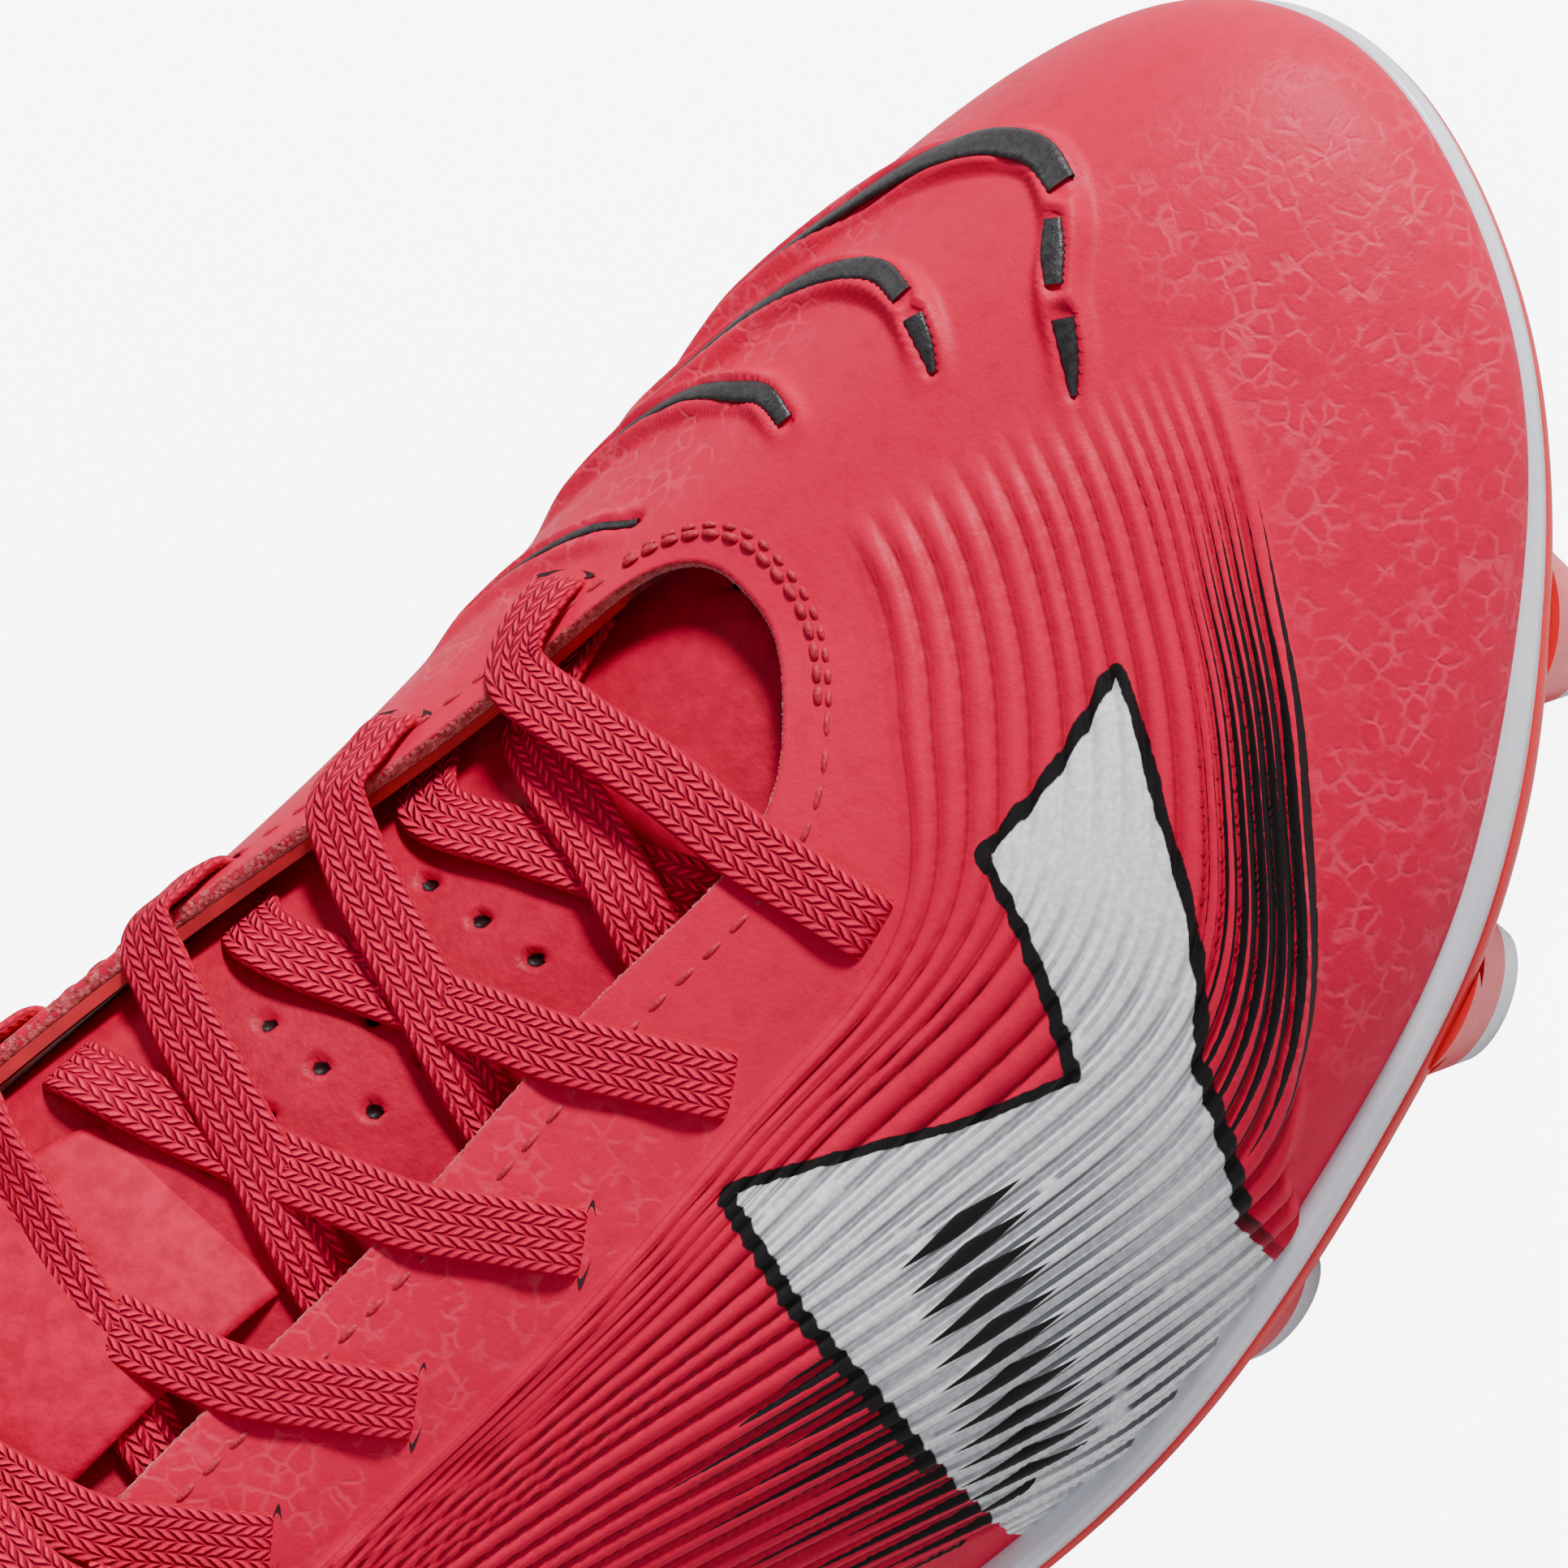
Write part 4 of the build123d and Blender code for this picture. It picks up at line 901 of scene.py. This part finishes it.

# %% [markdown]
# Every slit is a cut about 8 mm long whose lips open a little under the lace. A lens-shaped recess
# painted near-black as shade reads as the hole, and the band hides most of it.

# %% Lace slits
SLIT_SIDES, SLIT_HALF_LENGTH, SLIT_HALF_WIDTH = 32, 4.1, 0.7
verts, faces = [], []
for centre, ahead, up in SLITS:
    along = unit(np.cross(ahead, up))
    down = np.cross(up, along)
    angle = np.linspace(0, 2 * math.pi, SLIT_SIDES, endpoint=False)
    first = len(verts)
    for a in angle:
        lip = SLIT_HALF_WIDTH * math.sin(a) * (1 - 0.4 * math.cos(a) ** 2)
        verts.append(centre + ahead * 0.35 + along * SLIT_HALF_LENGTH * math.cos(a) + down * lip)
    verts.append(centre - up * 0.3)
    faces += [[first + k, first + (k + 1) % SLIT_SIDES, first + SLIT_SIDES] for k in range(SLIT_SIDES)]
slits = finish_mesh("lace_slits", verts, faces, slit_shade_looks.material)
print("slits:", len(SLITS))

# %% [markdown]
# ## Stitching
# A row of stitches follows the throat edge about 4 mm in, and a second row close to it ties the
# front of the throat. Each stitch is its own small thread, dug slightly into the skin.


# %% Throat stitches
def stitch_row(name, line, pitch, length, radius, sink=0.1):
    """A row of stitches along (station, v) places on the upper."""
    spots = np.array(line)
    path = resample(wall(spots[:, 0], spots[:, 1], sink), 0.3)
    marks = distance_along(path)
    tops = stretched(resample(wall(spots[:, 0], spots[:, 1], -6.0), 0.3), len(path))
    starts = np.arange(0.5, marks[-1] - length, pitch)

    def at(where, data):
        return np.stack([np.interp(where, marks, c) for c in data.T], axis=1)

    a, b = at(starts, path), at(starts + length, path)
    ups = unit(at(starts + length / 2, tops) - (a + b) / 2)
    piece = capsules(name, a, b, ups, radius, thread_looks.material)
    return piece


def edge_line(first, last, inset, count=60):
    """Places at a distance below the throat edge, between two stations."""
    stations = np.linspace(first, last, count)
    line = []
    for station in stations:
        heights = np.linspace(1, 0.6, 60)
        drop = distance_along(outside(station, heights))
        line.append((station, float(np.interp(inset, drop, heights))))
    return line


stitch_row("stitches_lateral", edge_line(6.3, 11.2, 4.2), 3.4, 2.5, 0.28)
stitch_row("stitches_front", edge_line(11.1, 16.2, 3.4), 2.1, 1.9, 0.4, sink=-0.05)
stitch_row("stitches_front_under", edge_line(11.1, 16.2, 4.4), 2.1, 1.5, 0.3, sink=0.0)
stitch_row("stitches_medial", edge_line(16.2, 20.8, 3.6), 3.4, 2.5, 0.28)

# %% [markdown]
# The throat is cut, not folded, so its edge shows the paler fibres of the backing. A thin strip
# along the edge, roughened with small random bumps, gives that.

# %% Cut throat edge
edge_us = np.arange(6.1, 20.9, 0.012)
edge_rows = []
for depth, rise in ((-0.02, -0.25), (0.1, 0.12), (0.6, 0.24), (1.1, 0.24), (1.5, 0.1), (1.6, -0.3)):
    base_row = wall(edge_us, np.ones(len(edge_us)), depth)
    inner_row = wall(edge_us, np.full(len(edge_us), 0.98), depth)
    upward = unit(base_row - inner_row)
    fuzz = rng.normal(0, 0.05, len(edge_us))
    edge_rows.append(base_row + upward * (rise * 0.7 + fuzz)[:, None])
throat_edge = grid_piece("throat_cut_edge", np.stack(edge_rows, axis=1), cut_looks.material)

# %% [markdown]
# The fourth pair of lace bands runs under a bridge on the tongue. It is a broad soft strap whose
# ends melt into the tongue, open on both sides where the lace goes through.

# %% Lace keeper
keeper_middle = 0.5 * (place_of(LATERAL_HOLES[3], 0) + place_of(LATERAL_HOLES[4], 0))
steps_along = np.linspace(-1, 1, 41)
shares = np.linspace(0.34, 0.7, 25)
KEEPER_REACH, KEEPER_RISE, KEEPER_THICK = 0.085, 3.6, 1.0
top_rows, up_rows = [], []
for t in steps_along:
    place = keeper_middle + KEEPER_REACH * t
    top_depth = TONGUE_DEPTH + 0.25 - KEEPER_RISE * (1 - abs(t) ** 2.4) ** 0.8
    top_rows.append([across_at(place, share, top_depth) for share in shares])
    up_rows.append([up_at(place, share) for share in shares])
keeper_top = np.array(top_rows)
keeper_low = keeper_top - unit(np.array(up_rows)) * KEEPER_THICK
keeper_ring = np.concatenate([keeper_top, keeper_low[:, ::-1]], axis=1)
keeper = grid_piece("keeper_strap", keeper_ring, smooth_looks.material, closed_m=True)
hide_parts("lace_keeper")

# %% [markdown]
# ## The bow
# The lace ends leave the last slits, meet in a knot, make two loops and hang as two tails with
# hard tips.

# %% Knot, ends, loops and tails
KNOT_PLACE, KNOT_SHARE = place_of(LATERAL_HOLES[5], 0) - 0.035, 0.54
END_ROUTES = {
    "lace_end_lateral": (place_of(LATERAL_HOLES[5], 0), [
        (-0.006, 1.6), (0.004, -0.2), (0.05, -0.8), (0.14, ABOVE), (0.28, -1.0), (0.4, -1.4), (0.48, -2.2)]),
    "lace_end_medial": (place_of(MEDIAL_HOLES[5], 1), [
        (1.008, 1.6), (0.998, -0.2), (0.95, -0.8), (0.88, ABOVE), (0.8, -1.0), (0.68, -1.4), (0.6, -2.2)]),
}
for name, (start_place, route) in END_ROUTES.items():
    places = [start_place + (KNOT_PLACE - start_place) * t for t in np.linspace(0, 1, len(route))]
    points = np.array([across_at(place, share, depth) for place, (share, depth) in zip(places, route)])
    ups = np.array([up_at(place, share) for place, (share, _) in zip(places, route)])
    band, _ = lace_mesh(f"{name}_braid", points, ups)
    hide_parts(name)

knot_at = across_at(KNOT_PLACE, KNOT_SHARE, -3.2)
knot_up = up_at(KNOT_PLACE, KNOT_SHARE)
knot_side = unit(np.cross(knot_up, [1.0, 0.0, 0.0]))
knot_ahead = np.cross(knot_side, knot_up)
KNOT_WRAPS = ((0.0, 4.3, 2.9, 0.25), (math.pi / 2, 5.0, 2.3, -0.3))
wraps, alongs, acrosses = [], [], []
for turn_angle, half_length, half_height, lean in KNOT_WRAPS:
    angle = np.linspace(0, 2 * math.pi, 60)
    forward = knot_ahead * math.cos(turn_angle) + knot_side * math.sin(turn_angle)
    sideways = np.cross(knot_up, forward)
    loop = (knot_at + forward * (half_length * np.cos(angle))[:, None]
            + knot_up * (half_height * np.sin(angle))[:, None]
            + sideways * (lean * 2.5 * np.sin(2 * angle))[:, None])
    grid, along, across = strip(loop, unit(loop - knot_at), 5.6, 1.25, ring=20)
    wraps.append(grid)
    alongs.append(along.ravel())
    acrosses.append(across.ravel())
knot = finish_mesh("lace_knot_wraps", *joined(wraps), lace_looks.material,
                   values={"along": np.concatenate(alongs), "across": np.concatenate(acrosses)})
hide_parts("lace_knot")

LOOP_ROUTE = [(0.97, -2.6), (0.90, -2.5), (0.78, -2.5), (0.66, -2.6), (0.58, -3.4), (0.55, -5.2),
              (0.58, -7.0), (0.66, -7.8), (0.78, -7.9), (0.90, -7.4), (0.97, -6.6)]
LOOP_WIDTH = 6.0
for side, station in (("lateral", 6.4), ("medial", 20.55)):
    points = np.array([wall(station, v, depth) for v, depth in LOOP_ROUTE])
    path = soft_line(resample(points, 0.6), 2)
    axis = unit(outside(station + 0.2, 0.9) - outside(station - 0.2, 0.9))
    ups = unit(np.cross(axis, unit(np.gradient(path, axis=0))))
    grid, along, across = strip(path, ups, LOOP_WIDTH, LACE_THICK, ring=24)
    loop = capped(f"bow_loop_{side}_braid", grid, lace_looks.material,
                  values={"along": along, "across": across})
    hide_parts(f"bow_loop_{side}")
    path[0] * MM
    path * MM

LATERAL_TAIL = [(6.02, 0.94, -0.9), (5.85, 0.84, -0.9), (5.65, 0.73, -0.9), (5.42, 0.61, -0.9),
                (5.2, 0.49, -0.9), (5.0, 0.38, -0.9)]
MEDIAL_TAIL = [(20.98, 0.94, -0.9), (21.15, 0.84, -0.9), (21.32, 0.73, -0.9), (21.5, 0.61, -0.9),
               (21.7, 0.49, -0.9), (21.88, 0.38, -0.9)]
AGLET_LENGTH = 14.0
for side, route, share in (("lateral", LATERAL_TAIL, 0.36), ("medial", MEDIAL_TAIL, 0.64)):
    points = np.array([tongue_at(0.95, share, -3.0)] + [wall(*spot) for spot in route])
    ups = np.array([outward(route[0][0], route[0][1])] + [outward(u, v) for u, v, _ in route])
    tail, path = lace_mesh(f"lace_tail_{side}_braid", points, ups)
    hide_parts(f"lace_tail_{side}")
    ahead = unit(points[-1] - points[-2])
    root = points[-1] + ahead * -1.5 + ups[-1] * 0.75
    spots = np.linspace(0, 1, 40)
    line = root + ahead * (spots * (AGLET_LENGTH + 1.5))[:, None]
    taper = 1 - 0.35 * (1 - smooth(spots, 0, 0.12)) - 0.5 * smooth(spots, 0.93, 1.0)
    grimp = 1 - 0.05 * (np.abs(spots - 0.15) < 0.02) - 0.05 * (np.abs(spots - 0.22) < 0.02)
    grid, _, _ = strip(line, np.repeat(ups[-1:], len(line), axis=0), 3.4 * taper * grimp, 2.7 * taper * grimp,
                       ring=24, squareness=2.4)
    tip = capped(f"aglet_{side}_tip", grid, aglet_looks.material)
    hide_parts(f"aglet_{side}")
    path[0] * MM
    path * MM

# %% [markdown]
# ## Padding and lining
# The tongue ends in a padded tab with stitched channels. Behind it the collar is a soft roll of
# lining cloth over foam. The cloth runs on down inside the boot, with one quilted seam.

# %% Tongue tab
TAB_GAP, TAB_LENGTH, TAB_THICK, TAB_NARROWING = 2.3, 18.5, 7.0, 0.28
TAB_LEAN = np.array([-0.34, 0.0, 0.94])
TAB_SPAN = (0.18, 0.82)
tab_middle = tongue_at(1.0, 0.5, TONGUE_DEPTH + 2.8)
tab_rise = np.linspace(0, 1, 70)
tab_across = np.linspace(0, 1, 80)
R2, C2 = np.meshgrid(tab_rise, tab_across, indexing="ij")
tab_base = tongue_at(np.ones_like(C2), TAB_SPAN[0] + C2 * (TAB_SPAN[1] - TAB_SPAN[0]), TONGUE_DEPTH + 2.8)
tab_sheet = tab_base.copy()
tab_sheet[..., 1] += (tab_middle[1] - tab_base[..., 1]) * TAB_NARROWING * R2**2
corner = np.abs(2 * C2 - 1) ** 4
tab_sheet = tab_sheet + TAB_LEAN * (TAB_GAP + TAB_LENGTH * R2 * (1 - 0.16 * corner))[..., None]
swell = 0.1 + 0.9 * np.sin(np.pi * np.clip(0.02 + 0.96 * R2, 0, 1)) ** 0.45
edge_swell = 0.06 + 0.94 * np.clip(np.sin(np.pi * C2), 0, 1) ** 0.45
side_seam = 0.35 * np.exp(-(((np.abs(2 * C2 - 1) - 0.8) * 18) ** 2 / 4))
top_seam = 0.3 * np.exp(-(((R2 - 0.86) * 19) ** 2 / 4))
seam = 1 - side_seam - top_seam
tab_out = np.array([TAB_LEAN[2], 0.0, -TAB_LEAN[0]])
half_thick = (TAB_THICK / 2 * swell * edge_swell * seam)[..., None] * tab_out
tab_ring = np.concatenate([tab_sheet + half_thick, (tab_sheet - half_thick)[:, ::-1]], axis=1)
tab = grid_piece("tongue_tab_padded", tab_ring, lining_looks.material, closed_m=True, body="tongue_tab")
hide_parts("tongue_tab")

# %% Collar roll and lining
collar_us = np.arange(-5.3, 5.31, 0.05)
COLLAR_SECTION = ((0.1, -0.3), (0.15, 0.35), (0.9, 1.2), (2.2, 1.75), (3.6, 1.7), (4.9, 1.1), (5.8, -0.4),
                  (6.2, -2.5), (6.3, -5.0), (5.9, -8.0), (5.5, -10.0))
collar_fade = 1 - smooth(np.abs(collar_us), 4.6, 5.3) * 0.7
collar_rows = []
for depth, rise in COLLAR_SECTION:
    on_top = wall(collar_us % COUNT, np.ones(len(collar_us)), depth)
    lower = wall(collar_us % COUNT, np.full(len(collar_us), 0.97), depth)
    row_rise = rise * collar_fade if rise > 0 else np.full(len(collar_us), rise)
    collar_rows.append(on_top + unit(on_top - lower) * row_rise[:, None])
collar = grid_piece("collar_roll", np.stack(collar_rows, axis=1), lining_looks.material)
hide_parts("collar_foam")

lining_us = np.arange(0, COUNT, 0.06)
lining_vs = np.linspace(0.0, 0.995, 70)
U2, V2 = np.meshgrid(lining_us, lining_vs, indexing="ij")
rear = 1 - smooth(np.minimum(U2, COUNT - U2), 4.6, 5.4)
quilt = 0.5 * np.exp(-((V2 - 0.62) / 0.012) ** 2) * rear
depth = 2.95 + rear * (2.3 * V2**1.5) - quilt
lining = grid_piece("lining_cloth", wall(U2, V2, depth), lining_looks.material, closed_n=True)
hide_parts("vamp_lining", "heel_lining")

# %% [markdown]
# A narrow strip covers the back seam. It is widest at the sole and at the collar, and a stitched
# groove follows its edge.

# %% Heel panel
heel_us, heel_vs = np.linspace(-1.1, 1.1, 90), np.linspace(0.12, 0.97, 120)
U3, V3 = np.meshgrid(heel_us, heel_vs, indexing="ij")
waist = 1.0 - 0.45 * smooth(V3, 0.3, 0.75) + 0.25 * smooth(V3, 0.8, 0.97)
border = np.minimum((1.1 - np.abs(U3)) * 15, np.minimum(V3 - 0.12, 0.97 - V3) * 75)
raise_by = 0.1 + 1.0 * smooth(border, 0, 1.1) - 0.3 * np.exp(-((border - 2.6) / 0.35) ** 2)
heel_strip = grid_piece("heel_strip", wall((U3 * waist) % COUNT, V3, -raise_by), smooth_looks.material)
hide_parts("heel_panel")

# %% [markdown]
# ## The sole
# The rim of the second shot hugs the upper. It is thin round the toe, where the upper bulges over
# it, and grows to about 4 mm along the forefoot. The plate's red edge shows below and outside it.

# %% Rim and plate edge
ring_us = np.arange(0, COUNT, 0.05)
foot = wall(ring_us, np.zeros(len(ring_us)))
foot_ahead = (wall(ring_us + 0.02, np.zeros(len(ring_us)))
              - wall(ring_us - 0.02, np.zeros(len(ring_us))))
side_way = unit(np.stack([foot_ahead[:, 1], -foot_ahead[:, 0], np.zeros(len(ring_us))], axis=1))
top_z = sole_top(foot[:, 0])
toe_share = smooth(foot[:, 0], 96, 128)
rim_reach = 2.5 - 1.2 * toe_share
rim_rise = 2.5 - 0.7 * toe_share


def ring_row(reach, height):
    """One row of points round the boot, at a reach outside the feather line."""
    row = foot + side_way * np.broadcast_to(reach, ring_us.shape)[:, None]
    row[:, 2] = top_z + height
    return row


rim_rows = [ring_row(-1.2, 0.2), ring_row(-0.9, rim_rise), ring_row(0.5, rim_rise + 0.25),
            ring_row(rim_reach * 0.7, rim_rise), ring_row(rim_reach, rim_rise - 0.6),
            ring_row(rim_reach + 0.05, 0.9), ring_row(rim_reach - 0.05, -0.1), ring_row(-1.2, -0.1)]
rim = grid_piece("sole_rim_band", np.stack(rim_rows, axis=1), plate_white.material, closed_n=True,
                 closed_m=True)
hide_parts("sole_rim")
red_reach = 2.6 - 1.7 * toe_share
plate_rows = [ring_row(-4.5, -0.15), ring_row(red_reach - 0.3, -0.15), ring_row(red_reach, -0.5),
              ring_row(red_reach, -1.6), ring_row(red_reach - 0.5, -2.7), ring_row(red_reach - 1.6, -3.45),
              ring_row(-2.2, -3.6), ring_row(-4.5, -3.6), ring_row(-7.0, -3.3)]
centre_x = foot[:, 0] * 0.94
centre_line = np.stack([centre_x, np.full(len(ring_us), 3.0), sole_top(centre_x) - 3.3], axis=1)
for share in (0.25, 0.5, 0.75, 1.0):
    row = ring_row(-7.0, -3.3) * (1 - share) + centre_line * share
    row[:, 2] = sole_top(row[:, 0]) - 3.3
    plate_rows.append(row)
plate = grid_piece("stud_plate", np.stack(plate_rows, axis=1), plate_red.material, closed_n=True)
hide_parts("outsole_plate")

# %% [markdown]
# The footbed is a cloth-covered sheet that cups up a little round its edge.

# %% Footbed
bed_rows = [ring_row(-4.75, 5.0), ring_row(-4.8, 5.9), ring_row(-5.6, 6.25)]
bed_edge = ring_row(-5.6, 6.25)
bed_centre = np.stack([foot[:, 0] * 0.9, np.full(len(ring_us), 3.0), np.zeros(len(ring_us))], axis=1)
for share in np.linspace(0.06, 1.0, 16):
    row = bed_edge * (1 - share) + bed_centre * share
    row[:, 2] = sole_top(row[:, 0]) + 5.9 + 0.35 * (1 - share) ** 6
    bed_rows.append(row)
footbed = grid_piece("footbed_cloth", np.stack(bed_rows, axis=1), lining_looks.material, closed_n=True,
                     body="sockliner")
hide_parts("sockliner_cover")

# %% [markdown]
# ## Remaining CAD nodes
# Hard moulded parts keep their exact CAD surfaces and take a procedural finish.

# %% Dress the carried-over nodes
FINISH_OF = {
    "upper_skin": smooth_looks, "stiffener": stiff_looks, "foam": foam_looks, "lining_fabric": lining_looks,
    "tongue_skin": smooth_looks, "plate_red": plate_red, "plate_white": plate_white, "board": board_looks,
    "fin_rubber": inlay_looks, "aglet_plastic": plate_red, "lace_weave": lace_looks,
}
slot_of = {entry["node"]: entry["material_slot"] for entry in frame["record"]["subparts"]}
for name, node in NODES.items():
    looks = FINISH_OF[slot_of[name]]
    node.data.materials.clear()
    node.data.materials.append(looks.material)

# %% [markdown]
# ## Light, floor and camera
# The boot stands on a pale floor under three large soft lamps and a pale sky, as in a product
# studio. The camera is a long lens above the outer side of the forefoot, rolled so that the toe
# points up and to the right.

# %% Studio
world = bpy.data.worlds.new("studio")
bpy.context.scene.world = world
world.use_nodes = True
world.node_tree.nodes["Background"].inputs[0].default_value = (0.97, 0.98, 1.0, 1.0)
world.node_tree.nodes["Background"].inputs[1].default_value = 0.26

floor_looks = Looks("studio_floor", (0.9, 0.9, 0.9), 0.6, Specular_IOR_Level=0.0,
                    Emission_Color=(1.0, 1.0, 1.0, 1.0))
BACKDROP_GLOW = 7.0
seen = floor_looks.node("ShaderNodeLightPath", {}, {}, "Is Camera Ray")
floor_looks.put("Emission Strength", seen * BACKDROP_GLOW)
floor_mesh = bpy.data.meshes.new("studio_floor")
floor_mesh.from_pydata([(-3, -3, 0), (3, -3, 0), (3, 3, 0), (-3, 3, 0)], [], [(0, 1, 2, 3)])
floor = bpy.data.objects.new("studio_floor", floor_mesh)
floor.data.materials.append(floor_looks.material)
bpy.context.scene.collection.objects.link(floor)


def lamp(name, at, aim, size, watts):
    """A square soft lamp that looks at a point."""
    light = bpy.data.lights.new(name, "AREA")
    light.size, light.energy = size, watts
    holder = bpy.data.objects.new(name, light)
    holder.location = at
    holder.rotation_euler = (Vector(aim) - Vector(at)).to_track_quat("-Z", "Y").to_euler()
    bpy.context.scene.collection.objects.link(holder)


lamp("key", (1.3, 0.35, 0.75), (0.04, 0, 0.04), 0.3, 36.0)
lamp("fill", (-0.5, -1.1, 1.0), (0.03, 0, 0.04), 0.9, 4.5)
lamp("rim", (0.1, 1.2, 0.8), (0.03, 0, 0.04), 0.6, 3.5)

towards = np.array([0.28998, -0.46682, 0.83546])
right = np.array([0.59091, -0.59936, -0.54000])
image_up = np.array([0.75282, 0.65027, 0.10204])
look_at = np.array([40.5, 3.25, 35.0]) + 2.62 * right + 15.72 * image_up
VIEW_DISTANCE, VIEW_WIDTH = 1100.0, 144.6
eye_at = look_at + towards * VIEW_DISTANCE
camera = bpy.data.objects.new("camera", bpy.data.cameras.new("camera"))
camera.data.sensor_width = 36.0
camera.data.lens = camera.data.sensor_width * VIEW_DISTANCE / VIEW_WIDTH
camera.data.clip_start = 0.05
turn_to = Matrix((right, image_up, towards)).transposed().to_4x4()
camera.matrix_world = Matrix.Translation(Vector(eye_at * MM)) @ turn_to
bpy.context.scene.collection.objects.link(camera)
bpy.context.scene.camera = camera
print("camera at", np.round(eye_at, 1), "mm")
